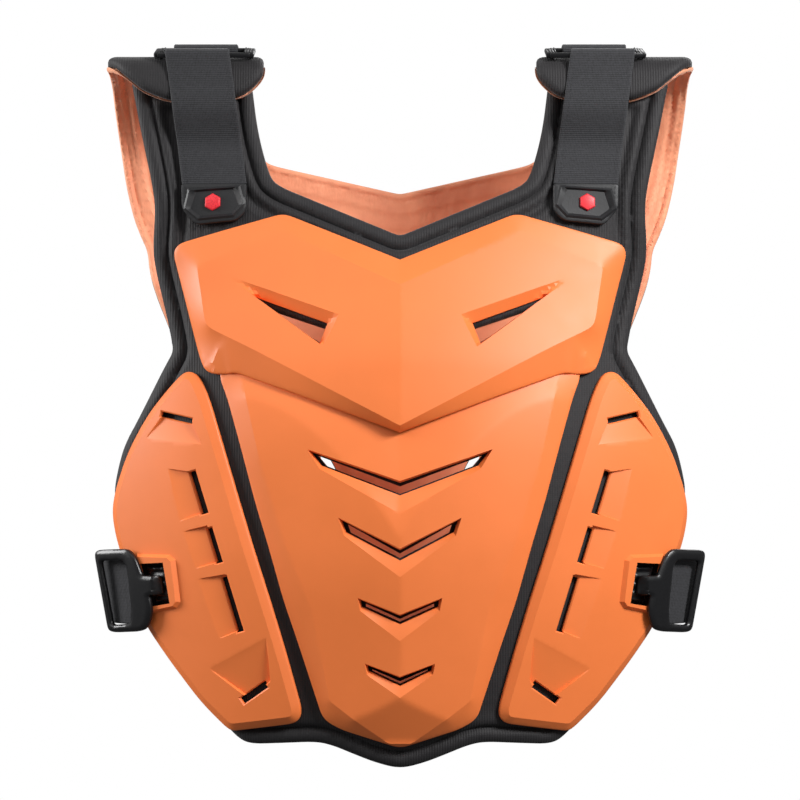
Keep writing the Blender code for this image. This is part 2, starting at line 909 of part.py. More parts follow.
def box_ring(wide, deep, side_bar, end_bar, thick):
    """Flat rectangular loop with clipped corners around the origin."""
    def frame(a, b, clip):
        return [(a, b - clip), (a - clip, b), (-a + clip, b), (-a, b - clip),
                (-a, -b + clip), (-a + clip, -b), (a - clip, -b), (a, -b + clip)]
    outer = frame(wide / 2, deep / 2, 0.003)
    inner = frame(wide / 2 - end_bar, deep / 2 - side_bar, 0.001)
    source = flat_regions([[outer, inner]])
    start = source.faces[:]
    grown = bmesh.ops.extrude_face_region(source, geom=start)
    top = [v for v in grown["geom"] if isinstance(v, bmesh.types.BMVert)]
    for face in start:
        face.normal_flip()
    for vert in source.verts:
        vert.co.z = thick / 2 if vert in top else -thick / 2
    return source


RING_MIDDLE = 0.6748                # share of HALF
ring_front = front_point(0.0, BAR.y) - Vector((0.0, BAR_HEIGHT, 0.0))
ring_tilt = math.radians(13.0)
for flip, word in ((False, "right"), (True, "left")):
    bm = box_ring(RING_WIDE, RING_DEEP, RING_BAR, 0.0085, RING_BAR)
    for vert in bm.verts:
        x, y, z = vert.co
        y += RING_DEEP / 2 - RING_BAR / 2
        vert.co = (
            RING_MIDDLE * HALF + x,
            ring_front.y + y * math.cos(ring_tilt) - z * math.sin(ring_tilt),
            ring_front.z + y * math.sin(ring_tilt) + z * math.cos(ring_tilt),
        )
    bmesh.ops.recalc_face_normals(bm, faces=bm.faces)
    finish("shoulder_ring_" + word, bm, "plastic_black", flip=flip)



def over_yoke(u, target):
    """Travel and height over the back surface of a point above the yoke's crest."""
    found = []
    for k in range(-100, 301):
        s = 0.0001 * k
        foot = bend("back", u, stretched(s), 0.0)
        up = bend("back", u, stretched(s), 1.0) - foot
        w = (target - foot).dot(up) / up.dot(up)
        found.append(((target - foot - up * w).length, s, w))
    return Vector(min(found)[1:])


# Webbing sewn to the back of each yoke that wraps the ring's rear bar
ring_reach = RING_DEEP - RING_BAR
REAR_BAR = over_yoke(RING_MIDDLE * HALF, Vector((
    RING_MIDDLE * HALF,
    ring_front.y + ring_reach * math.cos(ring_tilt),
    ring_front.z + ring_reach * math.sin(ring_tilt),
)))
anchor_profile = [(-0.0750, 0.0094)]
for k in range(0, 7):
    turn = -math.pi / 2 + math.pi * k / 6.0
    anchor_profile.append((REAR_BAR.x + WRAP_OUTER * math.cos(turn), REAR_BAR.y + WRAP_OUTER * math.sin(turn)))
anchor_profile += [(-0.0080, REAR_BAR.y + 0.00355), (-0.0300, 0.0132), (-0.0500, 0.0131)]
anchor_profile += [(-0.0500, 0.0115), (-0.0300, 0.0116), (-0.0080, REAR_BAR.y + 0.00195)]
for k in range(6, -1, -1):
    turn = -math.pi / 2 + math.pi * k / 6.0
    anchor_profile.append((REAR_BAR.x + WRAP_INNER * math.cos(turn), REAR_BAR.y + WRAP_INNER * math.sin(turn)))
anchor_profile.append((-0.0750, 0.0110))
anchor_profile = [(stretched(s), w) for s, w in anchor_profile]
for flip, word in ((False, "right"), (True, "left")):
    profile_ribbon(
        "ring_anchor_" + word, "back", anchor_profile,
        RING_MIDDLE * HALF - STRAP_WIDTH / 2, RING_MIDDLE * HALF + STRAP_WIDTH / 2,
        0.0, "webbing_black", flip,
    )

# Side buckles: a frame over the plate's rim with a tongue in the notch
BUCKLE_FRAME = (
    # across, down
    (1.0060, 0.6930),
    (0.9050, 0.6900),
    (0.8925, 0.6920),
    (0.8720, 0.7006),
    (0.8520, 0.7210),
    (0.8460, 0.7270),
    (0.7960, 0.7270),
    (0.7880, 0.7540),
    (0.8230, 0.7545),
    (0.8160, 0.7680),
    (0.8150, 0.7800),
    (0.8250, 0.7970),
    (0.8450, 0.8070),
    (0.9460, 0.8110),
    (0.9690, 0.8086),
    (1.0166, 0.6990),
)
BUCKLE_HOLE = (
    # across, down
    (0.9930, 0.7085),
    (0.9140, 0.7055),
    (0.9000, 0.7150),
    (0.8860, 0.7730),
    (0.8880, 0.7970),
    (0.9520, 0.8005),
)
CATCH = (
    # across, down
    (0.858, 0.716),
    (0.792, 0.714),
    (0.772, 0.762),
    (0.824, 0.767),
)


TONGUE_START = 0.8120 * HALF        # where the tongue begins to come down
TONGUE_SLOPE = 0.004                # length over which it comes down
TONGUE_DROP = 0.0058


def tongue_drop(u):
    """How far the buckle's tongue has come down at a distance from the middle."""
    return TONGUE_DROP * ease((TONGUE_START - abs(u)) / TONGUE_SLOPE)


for flip, word in ((False, "right"), (True, "left")):
    sheet(
        "side_buckle_" + word, [[scaled(BUCKLE_FRAME), scaled(BUCKLE_HOLE)]], "front",
        lambda u, v: 0.0106 - tongue_drop(u), lambda u, v: 0.0146 - tongue_drop(u),
        "plastic_black", flip=flip, creases=(TONGUE_START, TONGUE_START - TONGUE_SLOPE),
    )
    sheet(
        "side_catch_" + word, [[scaled(CATCH)]], "front",
        level(GAP + 0.0002), level(0.0045), "plastic_black", flip=flip,
    )

# Side straps: sewn to the back pad, round the side and in under the buckle's window
SIDE_STRAP_WIDTH = 0.048
SIDE_STRAP_LEVEL = -0.7509 * DROP
SIDE_STRAP_LEAN = 0.19
SIDE_STRAP_PATH = (
    # out as a share of HALF, forward as a share of DROP
    (0.7740, -0.1427),
    (0.8640, -0.1290),
    (0.9380, -0.1147),
    (0.9850, -0.0928),
    (1.0130, -0.0632),
    (1.0270, 0.0000),
    (1.0330, 0.0350),
    (1.0255, 0.0533),
    (1.0060, 0.0684),
    (0.9692, 0.0848),
    (0.9335, 0.0959),
    (0.9050, 0.1048),
)


def ribbon_outline(path, thick):
    """Closed outline of a strip of the given thickness along a plan path."""
    left = []
    right = []
    for k, p in enumerate(path):
        before = path[max(0, k - 1)]
        after = path[min(len(path) - 1, k + 1)]
        along = Vector((after[0] - before[0], after[1] - before[1])).normalized()
        left.append((p[0] - along.y * thick / 2, p[1] + along.x * thick / 2))
        right.append((p[0] + along.y * thick / 2, p[1] - along.x * thick / 2))
    return left + right[::-1]


for flip, word in ((False, "right"), (True, "left")):
    path = [(a * HALF, -b * DROP) for a, b in SIDE_STRAP_PATH]
    bm = flat_regions([[ribbon_outline(path, WEBBING)]])
    grown = bmesh.ops.extrude_face_region(bm, geom=bm.faces[:])
    moved = {v for v in grown["geom"] if isinstance(v, bmesh.types.BMVert)}
    for vert in bm.verts:
        x, y, _ = vert.co
        rise_z = SIDE_STRAP_WIDTH / 2 if vert in moved else -SIDE_STRAP_WIDTH / 2
        shift = SIDE_STRAP_LEAN * rise_z * ease((0.0933 * DROP - y) / (0.1306 * DROP))
        lie = 0.07 * rise_z * ease((y - 0.0373 * DROP) / (0.0746 * DROP))
        vert.co = (x + shift, y + 0.75 * shift + lie, SIDE_STRAP_LEVEL + rise_z)
    bmesh.ops.recalc_face_normals(bm, faces=bm.faces)
    finish("side_strap_" + word, bm, "webbing_black", flip=flip)
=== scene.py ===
"""Motorcycle armour vest, dressed for a look that matches its photograph.

The add-on puts one operator per group of pieces on a panel. Most pieces are bent from a flat
sheet over the same chest and back surfaces as the solid model, in metres, -Y to the front.
"""

import math

import bmesh
import bpy
import numpy as np
from bpy.props import FloatProperty, FloatVectorProperty
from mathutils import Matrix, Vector
from mathutils.geometry import delaunay_2d_cdt


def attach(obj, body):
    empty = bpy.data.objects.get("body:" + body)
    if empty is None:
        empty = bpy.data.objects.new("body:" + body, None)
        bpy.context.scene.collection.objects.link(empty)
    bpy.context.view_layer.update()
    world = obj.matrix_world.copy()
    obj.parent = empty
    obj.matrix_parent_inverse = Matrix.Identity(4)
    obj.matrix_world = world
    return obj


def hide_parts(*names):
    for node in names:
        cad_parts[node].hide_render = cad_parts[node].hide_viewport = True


bl_info = {
    "name": "Motorcycle armour vest",
    "version": (1, 0, 0),
    "blender": (4, 5, 0),
    "location": "View3D > Sidebar > Vest",
    "description": "Builds the pieces of a motorcycle armour vest",
    "category": "Object",
}

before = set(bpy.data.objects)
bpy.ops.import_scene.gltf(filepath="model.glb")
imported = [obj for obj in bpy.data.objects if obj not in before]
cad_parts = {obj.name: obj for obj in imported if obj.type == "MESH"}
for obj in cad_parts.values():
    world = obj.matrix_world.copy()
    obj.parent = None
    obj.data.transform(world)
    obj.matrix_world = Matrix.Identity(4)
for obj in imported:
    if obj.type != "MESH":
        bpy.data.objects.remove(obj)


def linear(color):
    """Linear red, green and blue of an sRGB hex value."""
    parts = [int(color[k:k + 2], 16) / 255 for k in (0, 2, 4)]
    return tuple(c / 12.92 if c <= 0.04045 else ((c + 0.055) / 1.055) ** 2.4 for c in parts)


def shade(color, factor):
    """A linear colour made darker or lighter, with its alpha."""
    return tuple(min(1.0, c * factor) for c in color) + (1.0,)


# Driving sizes, in metres
HALF = 0.226
DROP = 0.536
PAD = 0.009
LINING = 0.0012
GAP = 0.0003
SHELL = 0.0028
WEBBING = 0.0016
REST = GAP + 0.0002     # height at which the hard pieces rest on the pad
SIDES = ((False, "right"), (True, "left"))      # whether a side is mirrored, and its word

# Depth of the chest in front of the shoulder line, as shares of DROP
CHEST_DEPTH = (
    # down, depth
    (-0.056, 0.071),
    (0.000, 0.075),
    (0.093, 0.093),
    (0.187, 0.127),
    (0.280, 0.160),
    (0.373, 0.188),
    (0.522, 0.213),
    (0.672, 0.218),
    (0.821, 0.209),
    (1.045, 0.187),
)

# Line of the back pad's inner face, from the front flap over the shoulder to the hem
SHOULDER_LINE = (
    # forward, up, as shares of DROP
    (0.0905, -0.0560),
    (0.0892, -0.0480),
    (0.0865, -0.0340),
    (0.0835, -0.0170),
    (0.0792, -0.0030),
    (0.0690, 0.0050),
    (0.0520, 0.0090),
    (0.0190, 0.0100),
    (-0.0190, 0.0080),
    (-0.0520, 0.0000),
    (-0.0800, -0.0130),
    (-0.1050, -0.0390),
    (-0.1240, -0.0710),
    (-0.1390, -0.1080),
    (-0.1510, -0.1590),
    (-0.1610, -0.2150),
    (-0.1690, -0.2800),
    (-0.1770, -0.3730),
    (-0.1830, -0.4850),
    (-0.1830, -0.6160),
    (-0.1760, -0.7460),
    (-0.1670, -0.8580),
    (-0.1580, -0.9900),
)
CREST_ROW = 7
SIDE_WRAP_FRONT = 0.075
SIDE_WRAP_BACK = 0.045
WRAP_REACH = 0.215
WRAP_POWER = 2.2

# Half outlines, right side. Round is how far a corner is softened, as a share of HALF
FRONT_PAD_EDGE = (
    # across, down, round
    (0.000, 0.238, 0.02),
    (0.427, 0.163, 0.06),
    (0.452, 0.144, 0.06),
    (0.490, 0.085, 0.10),
    (0.513, 0.011, 0.02),
    (0.928, 0.011, 0.02),
    (0.899, 0.070, 0.10),
    (0.877, 0.114, 0.10),
    (0.856, 0.158, 0.10),
    (0.844, 0.198, 0.10),
    (0.858, 0.258, 0.10),
    (0.850, 0.287, 0.08),
    (0.825, 0.331, 0.08),
    (0.804, 0.367, 0.08),
    (0.787, 0.404, 0.02),
    (0.824, 0.432, 0.06),
    (0.863, 0.464, 0.08),
    (0.914, 0.505, 0.10),
    (0.962, 0.541, 0.08),
    (0.985, 0.575, 0.07),
    (1.000, 0.608, 0.07),
    (0.990, 0.643, 0.07),
    (0.973, 0.672, 0.07),
    (0.858, 0.808, 0.10),
    (0.800, 0.843, 0.08),
    (0.737, 0.876, 0.08),
    (0.667, 0.906, 0.08),
    (0.609, 0.938, 0.06),
    (0.552, 0.962, 0.05),
    (0.508, 0.968, 0.04),
    (0.286, 0.962, 0.05),
    (0.229, 0.967, 0.05),
    (0.158, 0.979, 0.06),
    (0.084, 0.991, 0.06),
    (0.000, 1.000, 0.06),
)

# Outline of each plate and the inner lines of its chamfers, with the height over the pad
CHEST_OUTER = (
    # across, down, height in mm, round
    (0.000, 0.277, 3.4, 0.00),
    (0.395, 0.209, 3.4, 0.03),
    (0.780, 0.253, 3.4, 0.05),
    (0.672, 0.422, 3.6, 0.05),
    (0.652, 0.436, 4.2, 0.05),
    (0.611, 0.441, 5.2, 0.05),
    (0.542, 0.439, 6.6, 0.02),
    (0.336, 0.470, 7.6, 0.05),
    (0.000, 0.523, 9.4, 0.00),
)
CHEST_INNER = (
    # across, down, height in mm, round
    (0.000, 0.319, 12.5, 0.00),
    (0.398, 0.236, 10.6, 0.01),
    (0.680, 0.283, 9.6, 0.02),
    (0.637, 0.365, 9.8, 0.04),
    (0.620, 0.376, 9.8, 0.03),
    (0.000, 0.515, 12.0, 0.00),
)
BELLY_OUTER = (
    # across, down, height in mm, round
    (0.000, 0.496, 4.6, 0.00),
    (0.330, 0.446, 4.2, 0.05),
    (0.560, 0.420, 3.4, 0.02),
    (0.604, 0.428, 3.4, 0.02),
    (0.605, 0.446, 3.4, 0.02),
    (0.578, 0.476, 3.4, 0.04),
    (0.530, 0.547, 3.4, 0.05),
    (0.485, 0.618, 3.4, 0.05),
    (0.435, 0.688, 3.4, 0.05),
    (0.388, 0.759, 3.4, 0.05),
    (0.342, 0.816, 3.4, 0.05),
    (0.277, 0.901, 3.4, 0.03),
    (0.257, 0.927, 3.4, 0.03),
    (0.201, 0.941, 3.4, 0.03),
    (0.000, 0.968, 3.4, 0.03),
)
BELLY_INNER = (
    # across, down, height in mm, round
    (0.000, 0.507, 4.7, 0.00),
    (0.520, 0.434, 4.4, 0.01),
    (0.524, 0.446, 4.6, 0.01),
    (0.464, 0.558, 7.6, 0.04),
    (0.375, 0.682, 8.2, 0.04),
    (0.291, 0.768, 8.6, 0.03),
    (0.229, 0.899, 8.2, 0.01),
    (0.038, 0.960, 6.4, 0.01),
)
SIDE_OUTER = (
    # across, down, height in mm, round
    (0.731, 0.436, 3.2, 0.03),
    (0.790, 0.462, 3.2, 0.05),
    (0.862, 0.500, 3.2, 0.06),
    (0.932, 0.554, 3.2, 0.06),
    (0.972, 0.604, 3.2, 0.03),
    (0.984, 0.628, 3.2, 0.03),
    (0.984, 0.648, 3.2, 0.03),
    (0.970, 0.679, 3.2, 0.05),
    (0.872, 0.797, 3.2, 0.06),
    (0.783, 0.849, 3.2, 0.06),
    (0.670, 0.909, 3.2, 0.06),
    (0.587, 0.942, 3.2, 0.02),
    (0.565, 0.948, 3.2, 0.02),
    (0.352, 0.934, 3.2, 0.03),
    (0.332, 0.925, 3.2, 0.03),
    (0.330, 0.911, 3.2, 0.03),
    (0.383, 0.830, 3.2, 0.06),
    (0.434, 0.759, 3.2, 0.06),
    (0.488, 0.688, 3.2, 0.06),
    (0.539, 0.618, 3.2, 0.06),
    (0.590, 0.547, 3.2, 0.06),
    (0.642, 0.476, 3.2, 0.06),
    (0.674, 0.446, 3.2, 0.03),
    (0.698, 0.436, 3.2, 0.03),
)
BACK_EDGE_NECK = (
    # across, down the back, round
    (0.000, 0.162, 0.02),
    (0.454, 0.120, 0.06),
    (0.484, 0.114, 0.06),
    (0.508, 0.105, 0.06),
    (0.525, 0.086, 0.08),
    (0.534, 0.065, 0.08),
    (0.542, 0.037, 0.08),
)
FLAP_EDGE = (
    # across, reach forward of the crest, round
    (0.530, 0.000, 0.10),
    (0.470, 0.030, 0.10),
    (0.465, 0.050, 0.06),
    (0.466, 0.066, 0.06),
    (0.478, 0.076, 0.06),
    (0.499, 0.086, 0.06),
    (0.527, 0.096, 0.06),
    (0.561, 0.102, 0.06),
    (0.688, 0.109, 0.06),
    (0.788, 0.106, 0.06),
    (0.823, 0.102, 0.06),
    (0.857, 0.096, 0.06),
    (0.892, 0.089, 0.06),
    (0.926, 0.076, 0.06),
    (0.965, 0.064, 0.06),
    (1.007, 0.045, 0.04),
    (1.020, 0.020, 0.08),
    (1.024, 0.000, 0.08),
)
BACK_EDGE_ARM = (
    # across, down the back, round
    (1.024, 0.025, 0.08),
    (1.019, 0.053, 0.08),
    (1.011, 0.083, 0.08),
    (1.002, 0.112, 0.08),
    (0.992, 0.142, 0.08),
    (0.977, 0.172, 0.08),
    (0.958, 0.202, 0.08),
    (0.932, 0.229, 0.08),
    (0.908, 0.250, 0.08),
    (0.902, 0.278, 0.08),
    (0.880, 0.312, 0.08),
    (0.826, 0.369, 0.08),
    (0.800, 0.400, 0.06),
    (0.800, 0.425, 0.06),
    (0.840, 0.462, 0.08),
    (0.900, 0.515, 0.10),
    (0.942, 0.578, 0.10),
    (0.947, 0.653, 0.10),
    (0.907, 0.746, 0.10),
    (0.841, 0.840, 0.10),
    (0.752, 0.914, 0.10),
    (0.640, 0.950, 0.10),
    (0.480, 0.966, 0.10),
    (0.000, 0.976, 0.10),
)

CHEST_RECESS = (
    # across, down
    (0.582, 0.299),
    (0.249, 0.405),
    (0.200, 0.359),
)
CHEST_HOLE = (
    # across, down
    (0.484, 0.330),
    (0.266, 0.3975),
    (0.241, 0.368),
)
CHEVRONS = (
    # end across, end down, lower end across, lower end down, top, bottom, facet foot
    (0.303, 0.546, 0.259, 0.570, 0.590, 0.610, 0.635),
    (0.200, 0.641, 0.177, 0.663, 0.683, 0.700, 0.722),
    (0.137, 0.752, 0.125, 0.767, 0.774, 0.789, 0.811),
    (0.114, 0.844, 0.103, 0.857, 0.861, 0.876, 0.891),
)
SIDE_SLOTS = (
    # across, down, across, down, width
    (0.800, 0.497, 0.693, 0.507, 0.0080),
    (0.693, 0.578, 0.648, 0.638, 0.0125),
    (0.634, 0.658, 0.598, 0.707, 0.0110),
    (0.584, 0.727, 0.528, 0.804, 0.0110),
    (0.523, 0.903, 0.443, 0.878, 0.0110),
)
SIDE_LOUVRES = (
    # slot end across, down, crease end across, down, the same at the other end, depth in mm
    (0.7992, 0.5013, 0.8532, 0.5320, 0.6876, 0.5124, 0.6552, 0.5403, 2.6),
    (0.7056, 0.5780, 0.7740, 0.5744, 0.6588, 0.6380, 0.7308, 0.6492, 3.2),
    (0.6444, 0.6547, 0.7200, 0.6631, 0.6048, 0.7064, 0.6768, 0.7161, 3.2),
    (0.5868, 0.7231, 0.6696, 0.7301, 0.5256, 0.8013, 0.5976, 0.8152, 3.2),
    (0.5148, 0.8947, 0.6336, 0.8585, 0.4284, 0.8696, 0.4392, 0.8110, 3.4),
)
NOTCH_HOLE = (
    # across, down
    (0.868, 0.711),
    (0.783, 0.708),
    (0.760, 0.766),
    (0.828, 0.772),
)
NOTCH_RIM = (
    # across, down
    (0.884, 0.697),
    (0.766, 0.697),
    (0.747, 0.704),
    (0.730, 0.764),
    (0.744, 0.773),
    (0.838, 0.783),
)
BACK_OPENING = (
    # across, down
    (0.258, 0.562),
    (0.292, 0.560),
    (0.270, 0.592),
    (0.214, 0.598),
)
TAB_EDGE = (
    # across, down, round
    (0.523, 0.1650, 0.010),
    (0.747, 0.1645, 0.010),
    (0.744, 0.2000, 0.020),
    (0.694, 0.2240, 0.020),
    (0.553, 0.2190, 0.020),
    (0.522, 0.2050, 0.020),
)
TAB_PANEL = (
    # across, down
    (0.549, 0.1716),
    (0.718, 0.1748),
    (0.730, 0.2000),
    (0.684, 0.2154),
    (0.567, 0.2120),
    (0.532, 0.1964),
)
TAB_FLOOR = (
    # across, down
    (0.569, 0.1740),
    (0.696, 0.1768),
    (0.713, 0.2005),
    (0.679, 0.2112),
    (0.571, 0.2082),
    (0.549, 0.1964),
)
BUCKLE_FRAME = (
    # across, down, round
    (1.0060, 0.6930, 0.020),
    (0.9050, 0.6900, 0.020),
    (0.8925, 0.6920, 0.020),
    (0.8720, 0.7006, 0.030),
    (0.8520, 0.7210, 0.010),
    (0.8460, 0.7270, 0.006),
    (0.7960, 0.7270, 0.010),
    (0.7880, 0.7540, 0.010),
    (0.8230, 0.7545, 0.008),
    (0.8160, 0.7680, 0.020),
    (0.8150, 0.7800, 0.030),
    (0.8250, 0.7970, 0.030),
    (0.8450, 0.8070, 0.030),
    (0.9460, 0.8110, 0.020),
    (0.9690, 0.8086, 0.020),
    (1.0166, 0.6990, 0.020),
)
BUCKLE_HOLE = (
    # across, down, round
    (0.9930, 0.7085, 0.012),
    (0.9140, 0.7055, 0.012),
    (0.9000, 0.7150, 0.012),
    (0.8860, 0.7730, 0.012),
    (0.8880, 0.7970, 0.012),
    (0.9520, 0.8005, 0.012),
)
CATCH = (
    # across, down, round
    (0.858, 0.716, 0.006),
    (0.792, 0.714, 0.006),
    (0.772, 0.762, 0.006),
    (0.824, 0.767, 0.006),
)

# Paths of the webbing, through the middle of its thickness
STRAP_PATH = (
    # level, height over the chest, in metres
    (-0.0880, 0.0013),
    (-0.0700, 0.0014),
    (-0.0540, 0.0022),
    (-0.0320, 0.0126),
    (-0.0100, 0.0131),
    (0.0085, 0.0128),
)
STRAP_BAR = (0.0130, 0.0087)
STRAP_LEAN = 0.136
STRAP_WIDTH = 0.050
STRAP_MIDDLE = 0.635 * HALF
RING_MIDDLE = 0.6748 * HALF
ANCHOR_START = (-0.0750, 0.0102)
ANCHOR_BAR = (0.0085, 0.01455)
ANCHOR_END = ((-0.0080, 0.0173), (-0.0300, 0.0124), (-0.0500, 0.0123))
BAR_RADIUS = 0.0032
WEBBING_SEAM = 0.0042               # distance of the seams from the webbing's edges
SEAM_RUN = ((0.001, 0.0), (0.099, 0.0))
SIDE_STRAP_WIDTH = 0.0505
SIDE_STRAP_LEVEL = -0.4035
SIDE_STRAP_PATH = (
    # out, forward, as shares of HALF
    (0.7740, -0.3385),
    (0.8640, -0.3060),
    (0.9380, -0.2720),
    (0.9850, -0.2200),
    (1.0130, -0.1500),
    (1.0270, 0.0000),
    (1.0330, 0.0830),
    (1.0255, 0.1265),
    (1.0060, 0.1622),
    (0.9692, 0.2010),
    (0.9335, 0.2275),
    (0.9050, 0.2485),
)

# Lines kept in the meshes of the pads and linings, as distances from the edge
FRONT_PAD_LINES = (0.0010, 0.0024, 0.0042, 0.0060, 0.0098, 0.0118, 0.0138)
BACK_PAD_LINES = (0.0008, 0.0022, 0.0042, 0.0060, 0.0100, 0.0120, 0.0140)
LINING_LINES = (0.0012, 0.0040, 0.0060)

# Border roll, and furrows along the pads' edges: middle, width, depth
ROLL = 0.0060
ROLL_DEPTH = 0.62
FRONT_SEAM = (0.0118, 0.0019, 0.0038)
FRONT_CREASE = (0.0225, 0.0030, 0.0042)
FRONT_SWELL = (0.0170, 0.0030, 0.0006)
BACK_SEAM = (0.0120, 0.0016, 0.0022)
BACK_CREASE = (0.0235, 0.0024, 0.0018)
PLEAT = 0.0068

# Depths pressed into the plates and the tabs, and heights of the small parts
VENT_PRESS = 0.0062
CHEVRON_PRESS = 0.0036
NOTCH_LIP = 0.0034
PANEL_SWELL = 0.0012
PANEL_PRESS = 0.0020
TAB_TOP = 0.0048
BADGE_MIDDLE = (0.637, 0.192)       # across, down
BADGE_RADIUS = 0.0068
BADGE_LEVELS = (0.0040, 0.0050, 0.0062)     # foot, rim, top
BUCKLE_TOP = 0.0140
BUCKLE_FOOT = 0.0106
CATCH_TOP = 0.0040
RING_PLACE = (-0.0479, 0.0130)      # forward, up

# Lights: name, place, what each points at, watts, size
CENTRE = (0.0, -0.05, -0.24)
LIGHTS = (
    ("key", (1.00, -0.95, 0.52), (0.0, -0.05, -0.12), 26.0, 0.45),
    ("left side", (-1.7, -0.10, 0.25), CENTRE, 27.0, 0.7),
    ("fill", (-0.8, -1.4, 1.0), (0.0, 0.0, -0.1), 5.0, 1.2),
    ("back", (0.9, 1.7, 0.9), CENTRE, 16.0, 1.2),
)
CAMERA_PLACE = (0.0, -2.45, -0.255)
CAMERA_LENS = 139.1


class VestSettings(bpy.types.PropertyGroup):
    """Sizes and colours of the vest"""

    fine: FloatProperty(
        name="Mesh step", description="Spacing of the mesh on the plates",
        default=0.0032, min=0.001, subtype="DISTANCE", unit="LENGTH",
    )
    soft: FloatProperty(
        name="Cloth step", description="Spacing of the mesh on the pads and linings",
        default=0.0036, min=0.001, subtype="DISTANCE", unit="LENGTH",
    )
    plate_color: FloatVectorProperty(
        name="Plates", description="Colour of the hard plates",
        default=linear("FB8341"), size=3, subtype="COLOR", min=0.0, max=1.0,
    )
    lining_color: FloatVectorProperty(
        name="Lining", description="Colour of the lining cloth",
        default=linear("FFA880"), size=3, subtype="COLOR", min=0.0, max=1.0,
    )
    fabric_color: FloatVectorProperty(
        name="Mesh cover", description="Colour of the pads' mesh cover",
        default=linear("1B191B"), size=3, subtype="COLOR", min=0.0, max=1.0,
    )
    webbing_color: FloatVectorProperty(
        name="Webbing", description="Colour of the elastic webbing",
        default=linear("27272A"), size=3, subtype="COLOR", min=0.0, max=1.0,
    )


def settings():
    """The vest's settings on the current scene."""
    return bpy.context.scene.armour_vest


def spline_table(rows, x):
    """Smooth value of a two-column table at x."""
    if x <= rows[0][0]:
        return rows[0][1]
    if x >= rows[-1][0]:
        return rows[-1][1]
    k = 0
    while x > rows[k + 1][0]:
        k += 1

    def slope(i):
        a, b = rows[max(i - 1, 0)], rows[min(i + 1, len(rows) - 1)]
        return (b[1] - a[1]) / (b[0] - a[0])

    (x0, y0), (x1, y1) = rows[k], rows[k + 1]
    h = x1 - x0
    t = (x - x0) / h
    m0 = slope(k) * h
    m1 = slope(k + 1) * h
    return (
        y0 * (2 * t ** 3 - 3 * t ** 2 + 1) + m0 * (t ** 3 - 2 * t ** 2 + t)
        + y1 * (-2 * t ** 3 + 3 * t ** 2) + m1 * (t ** 3 - t ** 2)
    )


def ease(t):
    """Smooth step between 0 and 1."""
    t = min(1.0, max(0.0, t))
    return t * t * (3.0 - 2.0 * t)


def side_share(z):
    """How much of the side wrap is reached at height z."""
    return ease((-0.040 - z) / 0.18)


depth_cache = {}


def chest_depth(v):
    """Depth of the chest at height v."""
    key = round(v, 5)
    if key not in depth_cache:
        depth_cache[key] = DROP * spline_table(CHEST_DEPTH, -v / DROP)
    return depth_cache[key]


def front_wrap(u, v):
    """How far the front's side has turned back."""
    return SIDE_WRAP_FRONT * side_share(v) * (abs(u) / WRAP_REACH) ** WRAP_POWER


def front_point(u, v):
    """Point of the front pad's outer face."""
    return Vector((u, front_wrap(u, v) - chest_depth(v), v))


line = [Vector((0.0, -a * DROP, b * DROP)) for a, b in SHOULDER_LINE]
travel = [0.0]
for before, after in zip(line, line[1:]):
    travel.append(travel[-1] - (after - before).length)
travel = [t - travel[CREST_ROW] for t in travel]
line_y = sorted((t, p.y) for t, p in zip(travel, line))
line_z = sorted((t, p.z) for t, p in zip(travel, line))
line_cache = {}


def line_point(s):
    """Smooth point of the shoulder line at travel s, carried straight on past its ends."""
    key = round(s, 5)
    if key not in line_cache:
        low, high = line_y[0][0], line_y[-1][0]
        t = min(high, max(low, s))
        p = Vector((0.0, spline_table(line_y, t), spline_table(line_z, t)))
        if s > high:
            p += (line[0] - line[1]).normalized() * (s - high)
        if s < low:
            p += (line[-1] - line[-2]).normalized() * (low - s)
        line_cache[key] = p
    return line_cache[key]


def behind(down):
    """Travel at which the line reaches a share of DROP down the back."""
    z = -down * DROP
    for k in range(CREST_ROW, len(line) - 1):
        if line[k].z >= z >= line[k + 1].z:
            t = (line[k].z - z) / (line[k].z - line[k + 1].z)
            return travel[k] + (travel[k + 1] - travel[k]) * t
    return travel[CREST_ROW]


def back_point(u, s):
    """Point of the back pad's inner face at travel s."""
    p = line_point(s)
    wrap = SIDE_WRAP_BACK * side_share(p.z) * (abs(u) / WRAP_REACH) ** WRAP_POWER
    side = -1.0 if p.y > 0.0 else 0.0
    return Vector((u, p.y + side * wrap, p.z))


def bend(skin, u, v, w):
    """Carry a flat point at height w onto the smooth front or back surface."""
    point = front_point if skin == "front" else back_point
    sign = 1.0 if skin == "front" else -1.0
    d = 0.002
    du = point(u + d, v) - point(u - d, v)
    dv = point(u, v + d) - point(u, v - d)
    return point(u, v) + (du.cross(dv) * sign).normalized() * w


def soften(points, steps=6):
    """Closed outline of (u, v, ..., round) rows with each corner rounded."""
    out = []
    count = len(points)
    for k, row in enumerate(points):
        p = Vector(row[:2])
        extra = row[2:-1]
        a = Vector(points[k - 1][:2])
        b = Vector(points[(k + 1) % count][:2])
        reach_a = min(row[-1], 0.48 * (a - p).length)
        reach_b = min(row[-1], 0.48 * (b - p).length)
        if row[-1] < 0.0004:
            out.append((p.x, p.y) + tuple(extra))
            continue
        start = p + (a - p).normalized() * reach_a
        end = p + (b - p).normalized() * reach_b
        for i in range(steps + 1):
            t = i / steps
            q = start * (1 - t) ** 2 + p * 2 * t * (1 - t) + end * t ** 2
            out.append((q.x, q.y) + tuple(extra))
    return out


def both_sides(half):
    """Half outline from centre to centre, closed by its mirror image."""
    other = [(-row[0],) + tuple(row[1:]) for row in reversed(half) if abs(row[0]) > 1e-6]
    return [tuple(r) for r in half] + other


